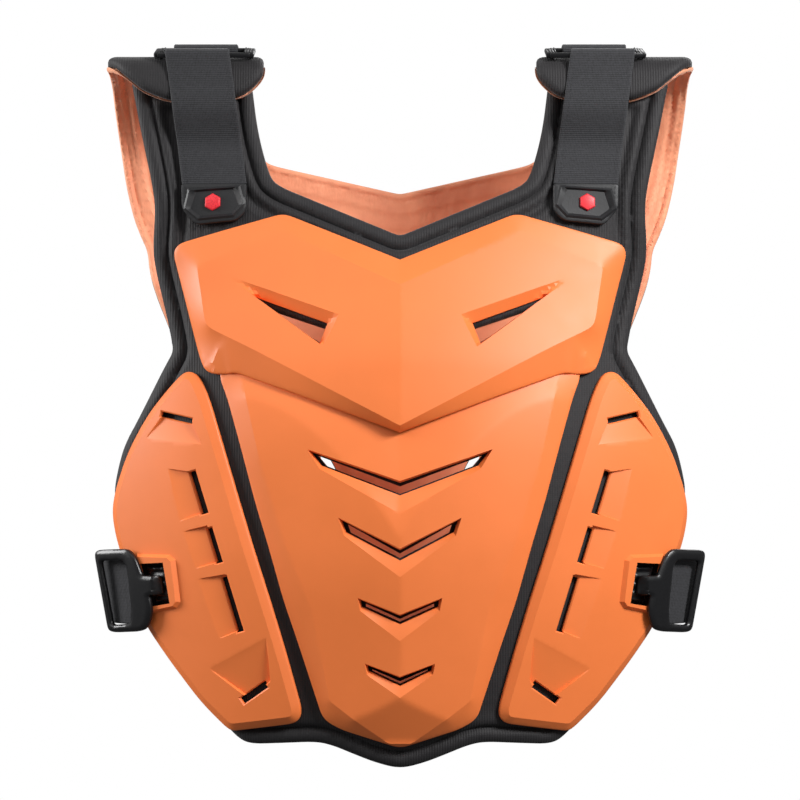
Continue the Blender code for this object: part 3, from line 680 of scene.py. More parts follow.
def scaled(rows):
    """Rows of shares turned into metres: across, down, further columns, round."""
    out = []
    for row in rows:
        more = row[2:]
        if len(more) == 2:
            more = (more[0] / 1000.0, more[1] * HALF)
        elif len(more) == 1:
            more = (more[0] * HALF,)
        out.append((row[0] * HALF, -row[1] * DROP) + tuple(more))
    return out


def mirrored(loop):
    """Mirror image of an outline."""
    return [(-row[0],) + tuple(row[1:]) for row in loop]


def flat_only(loop):
    """Outline without its further columns."""
    return [(row[0], row[1]) for row in loop]


class Loop:
    """A closed outline with distance and inside tests, and a value along it."""

    def __init__(self, rows):
        self.points = [(r[0], r[1]) for r in rows]
        start = np.array([tuple(r[:2]) + (r[2] if len(r) > 2 else 0.0,) for r in rows])
        step = np.roll(start, -1, axis=0) - start
        kept = (step[:, 0] ** 2 + step[:, 1] ** 2) > 1e-14
        start, step = start[kept], step[kept]
        self.x, self.y, self.value = start.T
        self.dx, self.dy, self.rise = step.T
        self.span = self.dx ** 2 + self.dy ** 2
        self.slope = self.dx / np.where(np.abs(self.dy) < 1e-15, 1e-15, self.dy)

    def near(self, u, v):
        """Distance to the outline and the value at the nearest place."""
        x = u - self.x
        y = v - self.y
        t = np.clip((x * self.dx + y * self.dy) / self.span, 0.0, 1.0)
        far = (x - t * self.dx) ** 2 + (y - t * self.dy) ** 2
        k = int(far.argmin())
        return math.sqrt(far[k]), float(self.value[k] + self.rise[k] * t[k])

    def holds(self, u, v):
        """Whether a point lies inside."""
        crossed = (self.y > v) != (self.y + self.dy > v)
        hits = crossed & (u < self.x + (v - self.y) * self.slope)
        return bool(np.count_nonzero(hits) % 2)


def inset(points, distance):
    """Closed outline moved inwards by a distance."""
    area = sum(a[0] * b[1] - b[0] * a[1] for a, b in zip(points, points[1:] + points[:1]))
    turn = 1.0 if area > 0.0 else -1.0
    out = []
    count = len(points)
    for k in range(count):
        p = Vector(points[k][:2])
        before = (p - Vector(points[k - 1][:2])).normalized()
        after = (Vector(points[(k + 1) % count][:2]) - p).normalized()
        left_before = Vector((-before.y, before.x)) * turn
        left_after = Vector((-after.y, after.x)) * turn
        mid = left_before + left_after
        if mid.length < 1e-9:
            mid = left_after
        mid.normalize()
        reach = distance / max(0.5, mid.dot(left_after))
        q = p + mid * reach
        out.append((q.x, q.y) + tuple(points[k][2:]))
    return out


def dense(points, step):
    """Closed outline with no edge longer than a step."""
    out = []
    count = len(points)
    for k in range(count):
        a = points[k]
        b = points[(k + 1) % count]
        span = math.hypot(b[0] - a[0], b[1] - a[1])
        parts = max(1, math.ceil(span / step))
        for i in range(parts):
            t = i / parts
            out.append(tuple(x + (y - x) * t for x, y in zip(a, b)))
    return out


def flat_mesh(outer, holes, lines, step):
    """Flat triangle mesh inside an outline, with holes and lines kept, on a fine grid."""
    coords = []
    edges = []

    for item in [outer] + list(holes) + list(lines):
        points = dense(item, step)
        start = len(coords)
        count = len(points)
        coords.extend((p[0], p[1]) for p in points)
        edges.extend((start + k, start + (k + 1) % count) for k in range(count))
    shell = Loop(outer)
    pits = [Loop(h) for h in holes]
    us = [p[0] for p in outer]
    vs = [p[1] for p in outer]
    boxes = []
    for pit in pits:
        xs = [p[0] for p in pit.points]
        ys = [p[1] for p in pit.points]
        boxes.append((min(xs) - step, max(xs) + step, min(ys) - step, max(ys) + step))
    taken = {(round(x / (0.5 * step)), round(y / (0.5 * step))) for x, y in coords}
    row = 0
    v = min(vs)
    while v < max(vs):
        u = min(us) + (0.5 * step if row % 2 else 0.0)
        while u < max(us):
            cell = (round(u / (0.5 * step)), round(v / (0.5 * step)))
            if cell not in taken and shell.holds(u, v) and not any(
                b[0] < u < b[1] and b[2] < v < b[3] and p.holds(u, v)
                for p, b in zip(pits, boxes)
            ):
                coords.append((u, v))
            u += step
        v += step * 0.866
        row += 1
    verts, _, faces, _, _, _ = delaunay_2d_cdt(
        [Vector(c) for c in coords], edges, [], 0, 1e-7
    )
    bm = bmesh.new()
    made = [bm.verts.new((p.x, p.y, 0.0)) for p in verts]
    for face in faces:
        x = sum(verts[i].x for i in face) / len(face)
        y = sum(verts[i].y for i in face) / len(face)
        if not shell.holds(x, y) or any(p.holds(x, y) for p in pits):
            continue
        bm.faces.new([made[i] for i in face])
    bmesh.ops.delete(bm, geom=[v for v in bm.verts if not v.link_faces], context="VERTS")
    bmesh.ops.recalc_face_normals(bm, faces=bm.faces)
    for face in bm.faces:
        if face.normal.z < 0.0:
            face.normal_flip()
    return bm


def mirror_mesh(bm):
    """Turn a mesh into its mirror image, for the left side."""
    for vert in bm.verts:
        vert.co.x = -vert.co.x
    bmesh.ops.reverse_faces(bm, faces=bm.faces)


def finish_mesh(name, bm, slot, smooth_angle=35.0):
    """Turn a bmesh into an object with its slot's material, its place in its mesh."""
    if bm.calc_volume(signed=True) < 0.0:
        bmesh.ops.reverse_faces(bm, faces=bm.faces)
    mesh = bpy.data.meshes.new(name)
    bm.to_mesh(mesh)
    bm.free()
    obj = bpy.data.objects.new(name, mesh)
    bpy.context.scene.collection.objects.link(obj)
    mesh.materials.append(material_of(slot))
    mesh.polygons.foreach_set("use_smooth", [True] * len(mesh.polygons))
    mesh.set_sharp_from_angle(angle=math.radians(smooth_angle))
    return obj


def dressed(name, bm, skin, low, high, slot, flip=False, smooth_angle=35.0):
    """Thicken a flat mesh between two height functions, bend it and finish it."""
    grown = bmesh.ops.extrude_face_region(bm, geom=bm.faces[:])
    top = {v for v in grown["geom"] if isinstance(v, bmesh.types.BMVert)}
    layer = bm.loops.layers.uv.new("flat")
    for face in bm.faces:
        for corner in face.loops:
            corner[layer].uv = (corner.vert.co.x, corner.vert.co.y)
    for vert in bm.verts:
        u, v = vert.co.x, vert.co.y
        w = high(u, v) if vert in top else low(u, v)
        vert.co = skin(u, v, w) if callable(skin) else bend(skin, u, v, w)
    bmesh.ops.recalc_face_normals(bm, faces=bm.faces)
    if flip:
        mirror_mesh(bm)
    return finish_mesh(name, bm, slot, smooth_angle)


def add_node(tree, kind, inputs=None, **values):
    """Add a shader node with its settings, and link or fill its inputs."""
    made = tree.nodes.new(kind)
    for key, value in values.items():
        setattr(made, key, value)
    for key, value in (inputs or {}).items():
        if isinstance(value, bpy.types.NodeSocket):
            tree.links.new(value, made.inputs[key])
        else:
            made.inputs[key].default_value = value
    return made


def start_material(name, roughness):
    """New material: itself, its tree, its Principled shader and the place in the object."""
    material = bpy.data.materials.new(name)
    material.use_nodes = True
    tree = material.node_tree
    shader = tree.nodes["Principled BSDF"]
    shader.inputs["Roughness"].default_value = roughness
    place = add_node(tree, "ShaderNodeTexCoord").outputs["Object"]
    return material, tree, shader, place


def bands(tree, vector, pitch, turn=0.0):
    """Straight rows at a pitch in metres, across a flat coordinate."""
    scale = 2.0 * math.pi / (20.0 * pitch)
    turned = add_node(tree, "ShaderNodeMapping", {
        "Vector": vector, "Rotation": (0.0, 0.0, turn), "Scale": (scale, scale, scale),
    })
    wave = add_node(tree, "ShaderNodeTexWave", {
        "Vector": turned.outputs["Vector"], "Scale": 1.0,
    }, wave_type="BANDS", bands_direction="X", wave_profile="SIN")
    return wave.outputs["Fac"]


def finish_surface(tree, shader, pattern, span, colors, layers):
    """Colour the shader by a pattern and stack bump layers on it.

    The two colours lie at the ends of a span of the pattern's values. Each layer is a pattern
    for its height, a depth in metres and a strength.
    """
    ramp = add_node(tree, "ShaderNodeValToRGB", {"Fac": pattern})
    for element, position, color in zip(ramp.color_ramp.elements, span, colors):
        element.position = position
        element.color = color
    tree.links.new(ramp.outputs["Color"], shader.inputs["Base Color"])
    normal = None
    for height, depth, strength in layers:
        inputs = {"Height": height, "Distance": depth, "Strength": strength}
        if normal is not None:
            inputs["Normal"] = normal
        normal = add_node(tree, "ShaderNodeBump", inputs).outputs["Normal"]
    tree.links.new(normal, shader.inputs["Normal"])


def mesh_fabric():
    """Air-mesh polyester, knitted: a dull black face with fine ribs and a grey bloom on them."""
    # Knit ribs at 2.0 mm and cells at 1.6 mm, which just show at this size
    color = settings().fabric_color
    material, tree, shader, place = start_material("knitted black air-mesh polyester", 0.70)
    flat = add_node(tree, "ShaderNodeUVMap", uv_map="flat").outputs["UV"]
    ribs = bands(tree, flat, 0.0020)
    cells = bands(tree, flat, 0.0016, math.pi / 2)
    dots = add_node(tree, "ShaderNodeMath", {0: ribs, 1: cells}, operation="MULTIPLY").outputs[0]
    knit = add_node(tree, "ShaderNodeMath", {0: ribs, 1: dots}, operation="ADD").outputs[0]
    cloud = add_node(tree, "ShaderNodeTexNoise", {
        "Vector": place, "Scale": 26.0, "Detail": 5.0, "Roughness": 0.62}).outputs["Fac"]
    fuzz = add_node(tree, "ShaderNodeTexNoise", {
        "Vector": place, "Scale": 1100.0, "Detail": 2.0}).outputs["Fac"]
    mixed = add_node(tree, "ShaderNodeMath", {0: knit, 1: cloud}, operation="ADD").outputs[0]
    finish_surface(
        tree, shader, mixed, (0.4, 1.0), (shade(color, 0.70), shade(color, 1.30)),
        [(cloud, 0.0040, 0.30), (ribs, 0.0004, 0.40), (cells, 0.0002, 0.15), (fuzz, 0.0002, 0.3)],
    )
    shader.inputs["Sheen Weight"].default_value = 0.12
    shader.inputs["Sheen Roughness"].default_value = 0.45
    return material


def lining_cloth():
    """Brushed polyester lining, woven: soft coral with a slight sheen and small puckers."""
    # Threads at 0.9 mm, drawn coarser than real so that they show; puckers of 8 to 20 mm
    color = settings().lining_color
    material, tree, shader, place = start_material("brushed coral polyester", 0.62)
    flat = add_node(tree, "ShaderNodeUVMap", uv_map="flat").outputs["UV"]
    warp = bands(tree, flat, 0.0009, 0.3)
    weft = bands(tree, flat, 0.0009, 0.3 + math.pi / 2)
    weave = add_node(tree, "ShaderNodeMath", {0: warp, 1: weft}, operation="MULTIPLY").outputs[0]
    stretch = add_node(tree, "ShaderNodeMapping", {
        "Vector": place, "Scale": (60.0, 60.0, 22.0)}).outputs["Vector"]
    pucker = add_node(tree, "ShaderNodeTexNoise", {
        "Vector": stretch, "Scale": 1.0, "Detail": 4.0}).outputs["Fac"]
    cloud = add_node(tree, "ShaderNodeTexNoise", {
        "Vector": place, "Scale": 38.0, "Detail": 5.0, "Roughness": 0.55}).outputs["Fac"]
    finish_surface(
        tree, shader, cloud, (0.32, 0.68), (shade(color, 0.84), shade(color, 1.12)),
        [(pucker, 0.0060, 0.45), (weave, 0.0002, 0.35)],
    )
    shader.inputs["Sheen Weight"].default_value = 0.20
    return material


def moulded_plate():
    """Polypropylene, injection moulded: a satin orange skin with a fine even grain."""
    # Spark-eroded grain of about 0.7 mm, and a slow drift of gloss over 100 mm
    color = settings().plate_color
    material, tree, shader, place = start_material("moulded orange polypropylene", 0.45)
    grain = add_node(tree, "ShaderNodeTexNoise", {
        "Vector": place, "Scale": 1400.0, "Detail": 2.0}).outputs["Fac"]
    drift = add_node(tree, "ShaderNodeTexNoise", {
        "Vector": place, "Scale": 9.0, "Detail": 5.0, "Roughness": 0.6}).outputs["Fac"]
    rough = add_node(tree, "ShaderNodeMapRange", {
        "Value": drift, "From Min": 0.3, "From Max": 0.7, "To Min": 0.40, "To Max": 0.52})
    tree.links.new(rough.outputs["Result"], shader.inputs["Roughness"])
    finish_surface(
        tree, shader, drift, (0.35, 0.65), (shade(color, 0.955), shade(color, 1.03)),
        [(grain, 0.0002, 0.16)],
    )
    shader.inputs["IOR"].default_value = 1.49
    return material


def woven_webbing():
    """Elastic polyester webbing, woven: close cross rows between firm lengthwise cords."""
    # Cross rows at 1.5 mm and cords at 1.2 mm, drawn coarser than real so that they show
    color = settings().webbing_color
    material, tree, shader, place = start_material("woven black polyester webbing", 0.80)
    flat = add_node(tree, "ShaderNodeUVMap", uv_map="flat").outputs["UV"]
    cords = bands(tree, flat, 0.0012)
    rows = bands(tree, flat, 0.0015, math.pi / 2)
    weave = add_node(tree, "ShaderNodeMath", {0: cords, 1: rows}, operation="MULTIPLY").outputs[0]
    fuzz = add_node(tree, "ShaderNodeTexNoise", {
        "Vector": place, "Scale": 520.0, "Detail": 3.0}).outputs["Fac"]
    mixed = add_node(tree, "ShaderNodeMath", {0: weave, 1: fuzz}, operation="ADD").outputs[0]
    finish_surface(
        tree, shader, mixed, (0.35, 1.0), (shade(color, 0.50), shade(color, 1.70)),
        [(rows, 0.0004, 0.45), (cords, 0.0002, 0.3), (fuzz, 0.0003, 0.35)],
    )
    shader.inputs["Sheen Weight"].default_value = 0.14
    return material


def grained(name, color, roughness, scale, depth):
    """Moulded rubber or nylon: an even dark skin with a fine grain."""
    material, tree, shader, place = start_material(name, roughness)
    grain = add_node(tree, "ShaderNodeTexNoise", {
        "Vector": place, "Scale": scale, "Detail": 3.0}).outputs["Fac"]
    finish_surface(
        tree, shader, grain, (0.3, 0.7), (shade(color, 0.80), shade(color, 1.25)),
        [(grain, depth, 0.25)],
    )
    return material


materials = {}
MAKERS = {
    "mesh_black": mesh_fabric,
    "lining_coral": lining_cloth,
    "plate_orange": moulded_plate,
    "webbing_black": woven_webbing,
    # Silicone rubber, moulded: matt and slightly grey
    "rubber_black": lambda: grained(
        "moulded black silicone rubber", linear("1E1E20"), 0.50, 900.0, 0.0003),
    # Silicone rubber, moulded in red: clean and slightly glossy
    "badge_red": lambda: grained(
        "moulded red silicone rubber", linear("E8303A"), 0.42, 900.0, 0.0002),
    # Nylon 6, moulded: dark with a soft gloss
    "plastic_black": lambda: grained(
        "moulded black nylon", linear("121214"), 0.32, 700.0, 0.0002),
}


def material_of(slot):
    """Each slot's material, made once."""
    if slot not in materials:
        materials[slot] = MAKERS[slot]()
    return materials[slot]


def show(obj, *nodes):
    """Let a finished piece ride on the vest and stand for its solids."""
    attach(obj, "root")
    if nodes:
        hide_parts(*nodes)
    return obj


def vent_loops():
    """Chest vents: ring and hole on both sides."""
    ring = scaled(CHEST_RECESS)
    hole = scaled(CHEST_HOLE)
    return [(ring, hole), (mirrored(ring), mirrored(hole))]


def chevron_loops():
    """Belly vents: ring and hole of each chevron."""
    out = []
    for ea, ed, la, ld, top, low, foot in CHEVRONS:
        ring = scaled([(0.0, top), (ea, ed), (la + 0.004, ld + 0.003), (0.0, foot)])
        hole = scaled([
            (0.0, top + 0.0025), (ea - 0.008, ed + 0.0035), (la, ld - 0.0015), (0.0, low),
        ])
        out.append((both_sides(ring), both_sides(hole)))
    return out


def pad_vents():
    """Holes through the front pad, which leave a black band under each vent's upper edge."""
    out = []
    for _, hole in vent_loops():
        small = inset(hole, 0.0012)
        foot = min(v for _, v in small)
        out.append([(u, foot + (v - foot) * 0.86) for u, v in small])
    for k, (ea, ed, la, ld, top, low, _) in enumerate(CHEVRONS):
        sink = 0.0018 * k
        out.append(both_sides(scaled([
            (0.0, top + 0.0074 + sink), (ea - 0.020, ed + 0.0072 + sink),
            (la - 0.008, ld - 0.0014 + sink), (0.0, low - 0.0019 + sink),
        ])))
    return out


def rounded_rim(d, radius):
    """How far a surface has dropped at a distance from its edge."""
    if d >= radius:
        return 0.0
    return radius - math.sqrt(max(0.0, radius * radius - (radius - d) ** 2))


def furrow(d, middle, width, depth):
    """Depth of a soft furrow that runs along an edge."""
    return depth * math.exp(-((d - middle) / width) ** 2)


def pad_relief(edge):
    """Cover of the front pad: selvedge, seam, border roll and the pleats on the shoulders."""
    def height(u, v):
        d, _ = edge.near(u, v)
        low = ROLL_DEPTH * rounded_rim(d, ROLL) + 0.0006
        low += furrow(d, *FRONT_SEAM)
        upper = ease((v + 0.16) / 0.04)
        low += furrow(d, *FRONT_CREASE) * upper
        low -= furrow(d, *FRONT_SWELL)
        beyond = d - FRONT_CREASE[0]
        if upper > 0.0 and beyond > 0.0:
            low += 0.0007 * upper * (1.0 - math.cos(beyond * 2 * math.pi / PLEAT))
        return -low
    return height


def cut_size(bm):
    """Width, length and area of a flat cut of cloth."""
    us = [v.co.x for v in bm.verts]
    vs = [v.co.y for v in bm.verts]
    return max(us) - min(us), max(vs) - min(vs), sum(f.calc_area() for f in bm.faces)


def build_front_pad():
    """The front pad and its lining."""
    step = settings().soft
    rows = flat_only(soften(both_sides(scaled(FRONT_PAD_EDGE))))
    edge = Loop(rows)
    relief = pad_relief(edge)
    keep = [inset(rows, d) for d in FRONT_PAD_LINES]
    holes = pad_vents()
    bm = flat_mesh(rows, holes, keep, step)
    pits = [Loop(h) for h in holes]

    def low(u, v):
        return -PAD + rounded_rim(edge.near(u, v)[0], 0.0024)

    def high(u, v):
        fall = max(rounded_rim(pit.near(u, v)[0], 0.0014) for pit in pits)
        return relief(u, v) - fall

    pad = dressed("front_pad_cover", bm, "front", low, high, "mesh_black", smooth_angle=70.0)
    show(pad, "front_pad")

    bm = flat_mesh(inset(rows, 0.0004), holes, [], step)
    width, length, area = cut_size(bm)

    def cloth(u, v):
        d, _ = edge.near(u, v)
        return -PAD - GAP + 0.0012 * math.exp(-(d / 0.003) ** 2)

    lining = dressed(
        "front_lining_cloth", bm, "front",
        lambda u, v: cloth(u, v) - LINING, cloth, "lining_coral", smooth_angle=60.0,
    )
    show(lining, "front_lining")


def back_outline():
    """Outline of the back pad, with its corners rounded."""
    rows = [(a * HALF, behind(b), r * HALF) for a, b, r in BACK_EDGE_NECK]
    rows += [(a * HALF, b * DROP, r * HALF) for a, b, r in FLAP_EDGE]
    rows += [(a * HALF, behind(b), r * HALF) for a, b, r in BACK_EDGE_ARM]
    return soften(both_sides(rows))


def lining_folds(edge):
    """Height of the back lining: long soft folds along its edges and small puckers."""
    def height(u, v):
        d, _ = edge.near(u, v)
        side = ease((abs(u) - 0.09) / 0.05)
        fold = 0.0
        if d < 0.055:
            fade = ease((0.055 - d) / 0.015)
            drift = 0.0014 * math.sin(v * 30.0 + 2.0 * u)
            fold = 0.0010 * math.sin((d + drift) * 2 * math.pi / 0.0125)
            fold += 0.0010 * math.sin((d - 0.7 * drift) * 2 * math.pi / 0.0064)
            fold *= fade * (0.30 + 0.70 * side)
        seam = furrow(d, 0.0050, 0.0009, 0.0005)
        pucker = 0.00022 * math.sin(v * 2 * math.pi / 0.0062 + 3.0 * math.sin(v * 90.0))
        return seam - fold - 0.0010 + pucker * math.exp(-((d - 0.006) / 0.007) ** 2)
    return height


def build_back_pad():
    """The back pad with its yokes, and the lining inside it."""
    step = settings().soft
    rows = flat_only(back_outline())
    edge = Loop(rows)
    opening = [(a * HALF, behind(b)) for a, b in BACK_OPENING]
    holes = [opening, mirrored(opening)]
    cover_edge = inset(rows, 0.0010)
    cover_loop = Loop(cover_edge)
    keep = [inset(cover_edge, d) for d in BACK_PAD_LINES]
    bm = flat_mesh(cover_edge, holes, keep, step)

    def outer(u, v):
        d, _ = cover_loop.near(u, v)
        flap = ease((v + 0.03) / 0.03)
        seam = furrow(d, *BACK_SEAM) + furrow(d, *BACK_CREASE)
        return PAD - ROLL_DEPTH * rounded_rim(d, ROLL) - seam * (1.0 - flap)

    def inner(u, v):
        d, _ = cover_loop.near(u, v)
        return 0.0012 + 0.5 * rounded_rim(d, 0.0016)

    pad = dressed("back_pad_cover", bm, "back", inner, outer, "mesh_black", smooth_angle=70.0)
    show(pad, "back_pad")

    keep = [inset(rows, d) for d in LINING_LINES]
    bm = flat_mesh(rows, holes, keep, step * 0.85)
    width, length, area = cut_size(bm)
    folds = lining_folds(edge)

    def cloth(u, v):
        d, _ = edge.near(u, v)
        turned = 0.0012 * (1.0 - ease(d / 0.0020))
        return folds(u, v) + 0.0006 + turned

    lining = dressed(
        "back_lining_cloth", bm, "back",
        lambda u, v: cloth(u, v) - LINING, cloth, "lining_coral", smooth_angle=60.0,
    )
    show(lining, "back_lining")


def plate_height(outer, inner, inside_height):
    """Height over the pad: chamfer between two outlines, then a function inside."""
    def height(u, v):
        if inner.holds(u, v):
            return inside_height(u, v)
        a, low = outer.near(u, v)
        b, high = inner.near(u, v)
        return low + (high - low) * a / max(1e-9, a + b)
    return height


def pressed(high, pairs, depth, run=None):
    """Height with the zone between each ring and its hole pressed in, or raised if negative."""
    low = GAP + 0.0016
    zones = [(Loop(ring), Loop(hole)) for ring, hole in pairs]

    def height(u, v):
        h = high(u, v)
        for ring, hole in zones:
            a, _ = ring.near(u, v)
            if a > 0.06:
                continue
            b, _ = hole.near(u, v)
            if ring.holds(u, v) or b < 1e-6:
                share = a / max(1e-9, a + b) if run is None else min(1.0, a / run)
                h = max(min(h, low), h - depth * (1.0 if hole.holds(u, v) else share))
        return h
    return height


def with_rim(high, edges, radius):
    """Height with a small rounding along outlines."""
    def height(u, v):
        h = high(u, v)
        for edge in edges:
            d, _ = edge.near(u, v)
            if d < radius:
                h -= rounded_rim(d, radius)
        return h
    return height


def far_from(a, b, u, v):
    """Distance of a flat point from the line through a and b."""
    dx = b[0] - a[0]
    dy = b[1] - a[1]
    return abs(dx * (v - a[1]) - dy * (u - a[0])) / math.hypot(dx, dy)


def louvres():
    """Outlines of the sunk slopes beside the slots, with their depths."""
    out = []
    for row in SIDE_LOUVRES:
        p0, q0, p1, q1 = [
            Vector((row[k] * HALF, -row[k + 1] * DROP)) for k in (0, 2, 4, 6)
        ]
        near0 = p0 + (p0 - q0).normalized() * 0.0015
        near1 = p1 + (p1 - q1).normalized() * 0.0015
        out.append(([tuple(near0), tuple(q0), tuple(q1), tuple(near1)], row[8] / 1000.0))
    return out


def sunk(high, zones):
    """Height with each louvre sloping down towards its slot."""
    loops = [(Loop(z), z, depth) for z, depth in zones]

    def height(u, v):
        h = high(u, v)
        for loop, (p0, q0, q1, p1), depth in loops:
            if loop.holds(u, v):
                a = far_from(q0, q1, u, v)
                b = far_from(p0, p1, u, v)
                side = min(far_from(p0, q0, u, v), far_from(p1, q1, u, v))
                h -= depth * (a / max(1e-9, a + b)) ** 0.85 * min(1.0, side / 0.0007)
        return h
    return height


def slot_outline(ua, va, ub, vb, width):
    """Outline of a straight slot between two points."""
    a = Vector((ua * HALF, -va * DROP))
    b = Vector((ub * HALF, -vb * DROP))
    side = (b - a).normalized()
    side = Vector((-side.y, side.x)) * width * 0.25
    return [tuple(a + side), tuple(a - side), tuple(b - side), tuple(b + side)]


def build_plate(node, outer_rows, inner_rows, shape, pairs=(), holes=(), lines=(), flip=False,
                rim=0.0011):
    """One hard plate: an outline, the inner line of its chamfer and what shapes its top."""
    step = settings().fine
    outer_loop = soften(outer_rows)
    inside_height = shape[0]
    inner_line = dense(flat_only(soften(inner_rows)), 0.004)
    inner_loop = [(u, v, inside_height(u, v)) for u, v in inner_line]
    outer = Loop(outer_loop)
    inner = Loop(inner_loop)
    high = plate_height(outer, inner, inside_height)
    for change in shape[1:]:
        high = change(high)
    top = with_rim(high, [outer] + [Loop(h) for h in holes], rim)
    keep = [inset(flat_only(outer_loop), d) for d in (0.0002, 0.0005, rim)]
    keep += [inner_line] + [ring for ring, _ in pairs] + list(lines)
    cuts = [hole for _, hole in pairs] + list(holes)
    bm = flat_mesh(flat_only(outer_loop), cuts, keep, step)
    obj = dressed(
        node + "_shell", bm, "front", lambda u, v: max(REST, high(u, v) - SHELL), top,
        "plate_orange", flip=flip, smooth_angle=15.0,
    )
    return show(obj, node)


def build_chest():
    """Chest plate: chamfers up to two planes that meet in a ridge, and two vents."""
    def planes(u, v):
        top = 0.0052 * ease((v + 0.235) / 0.065)
        return 0.0172 - top - 0.10 * abs(u) + 0.5 * front_wrap(u, v)

    ridge = [(0.0, -0.300 * DROP), (0.0004, -0.518 * DROP)]
    corner = [(0.637 * HALF, -0.366 * DROP), (0.6545 * HALF, -0.4315 * DROP)]
    vents = vent_loops()
    build_plate(
        "chest_plate", both_sides(scaled(CHEST_OUTER)), both_sides(scaled(CHEST_INNER)),
        [planes, lambda high: pressed(high, vents, VENT_PRESS)], pairs=vents,
        lines=[ridge, corner, mirrored(corner)],
    )


def build_belly():
    """Belly plate: side chamfers, a middle ridge, a tucked top and four chevrons."""
    tuck = ((0.542 * HALF, -0.439 * DROP), (0.0, -0.523 * DROP))

    def planes(u, v):
        u = abs(u)
        (ax, ay), (bx, by) = tuck
        below = ((bx - ax) * (v - ay) - (by - ay) * (u - ax)) / math.hypot(bx - ax, by - ay)
        foot = 0.0062 + 0.30 * max(0.0, v + 0.955 * DROP)
        level = 0.0165 - 0.18 * u + 0.6 * front_wrap(u, v)
        return max(0.0034, min(level, 0.0047 + 0.16 * max(0.0, below), foot))

    chevrons = chevron_loops()
    build_plate(
        "belly_plate", both_sides(scaled(BELLY_OUTER)), both_sides(scaled(BELLY_INNER)),
        [planes, lambda high: pressed(high, chevrons, CHEVRON_PRESS)], pairs=chevrons,
    )


def build_sides():
    """Side plates: a narrow chamfer, slots with louvres and a raised lip round the notch."""
    outer = scaled(SIDE_OUTER)
    inner = [tuple(r[:2]) + (0.012 * HALF,) for r in inset(outer, 0.0062)]
    slots = [slot_outline(*row) for row in SIDE_SLOTS]
    zones = louvres()
    rim = scaled(NOTCH_RIM)
    hole = scaled(NOTCH_HOLE)
    lines = [z for z, _ in zones] + [inset(z, 0.0007) for z, _ in zones] + [inset(rim, 0.0022)]
    lines += [inset(slot, -0.0009) for slot in slots]
    for flip, word in SIDES:
        build_plate(
            "side_plate_" + word, outer, inner,
            [lambda u, v: 0.0068, lambda high: sunk(high, zones),
             lambda high: pressed(high, [(rim, hole)], -NOTCH_LIP, run=0.0022)],
            pairs=[(rim, hole)], holes=slots, lines=lines, flip=flip, rim=0.0009,
        )


def smooth_path(points, step):
    """Points, directions and lengths along a smooth curve through flat points."""
    out = []
    count = len(points)
    for k in range(count - 1):
        p0, p1, p2, p3 = [
            Vector(points[min(count - 1, max(0, k + j))]) for j in (-1, 0, 1, 2)
        ]
        parts = max(2, math.ceil((p2 - p1).length / step))
        for i in range(parts):
            t = i / parts
            out.append(0.5 * (
                2 * p1 + (p2 - p0) * t + (2 * p0 - 5 * p1 + 4 * p2 - p3) * t * t
                + (3 * p1 - 3 * p2 + p3 - p0) * t ** 3
            ))
    out.append(Vector(points[-1]))
    rows = []
    length = 0.0
    for k, p in enumerate(out):
        if k:
            length += (p - out[k - 1]).length
        way = out[min(len(out) - 1, k + 1)] - out[max(0, k - 1)]
        rows.append((p, way.normalized(), length))
    return rows


def along(rows, length):
    """Point and direction at a length of a smooth path."""
    for before, after in zip(rows, rows[1:]):
        if length <= after[2] or after is rows[-1]:
            t = (length - before[2]) / max(1e-9, after[2] - before[2])
            return before[0].lerp(after[0], t), before[1].lerp(after[1], t).normalized()
    return rows[-1][0], rows[-1][1]


def ribbon(name, rows, width, place, flip):
    """Strip of webbing along a path: place(across, point, direction, height) sets it in space."""
    length = rows[-1][2]
    bm = bmesh.new()
    bmesh.ops.create_grid(
        bm, x_segments=26, y_segments=max(4, round(length / 0.0022)), size=0.5,
    )
    for vert in bm.verts:
        share = 2.0 * vert.co.x
        share = math.copysign(1.0 - (1.0 - abs(share)) ** 1.35, share)
        vert.co = (0.5 * width * share, (vert.co.y + 0.5) * length, 0.0)
    half = WEBBING / 2

    def rim(across):
        d = width / 2 - abs(across)
        drop = rounded_rim(d, 0.0007) + furrow(d, WEBBING_SEAM, 0.0006, 0.00025)
        return min(half * 0.85, drop)

    def skin(across, run, height):
        point, way = along(rows, run)
        return place(across, point, way, height)

    return dressed(
        name, bm, skin, lambda u, v: -half + rim(u), lambda u, v: half - rim(u),
        "webbing_black", flip=flip, smooth_angle=50.0,
    )


def stitches(name, points, place, slot, flip):
    """Row of short raised stitches along flat points."""
    size, gap, thick = 0.0021, 0.0013, 0.00045
    bm = bmesh.new()
    rest = 0.0
    for a, b in zip(points, points[1:]):
        a = Vector(a[:2])
        b = Vector(b[:2])
        span = (b - a).length
        way = (b - a) / max(1e-9, span)
        at = rest
        while at + size < span:
            made = bmesh.ops.create_cube(bm, size=1.0)["verts"]
            middle = a + way * (at + size / 2)
            for vert in made:
                x, y, z = vert.co
                taper = 0.75 if z > 0.0 else 1.0
                side = Vector((-way.y, way.x)) * y * thick * taper
                flat = middle + way * (x * size * taper) + side
                vert.co = place(flat.x, flat.y, z * thick * 0.8)
            at += size + gap
        rest = max(0.0, at - span)
    bmesh.ops.recalc_face_normals(bm, faces=bm.faces)
    if flip:
        mirror_mesh(bm)
    bm.loops.layers.uv.new("flat")
    return show(finish_mesh(name, bm, slot, 30.0))


def arc_points(middle, radius, start, end, parts=10):
    """Flat points of an arc round a middle."""
    out = []
    for k in range(parts + 1):
        turn = start + (end - start) * k / parts
        out.append((middle[0] + radius * math.sin(turn), middle[1] + radius * math.cos(turn)))
    return out


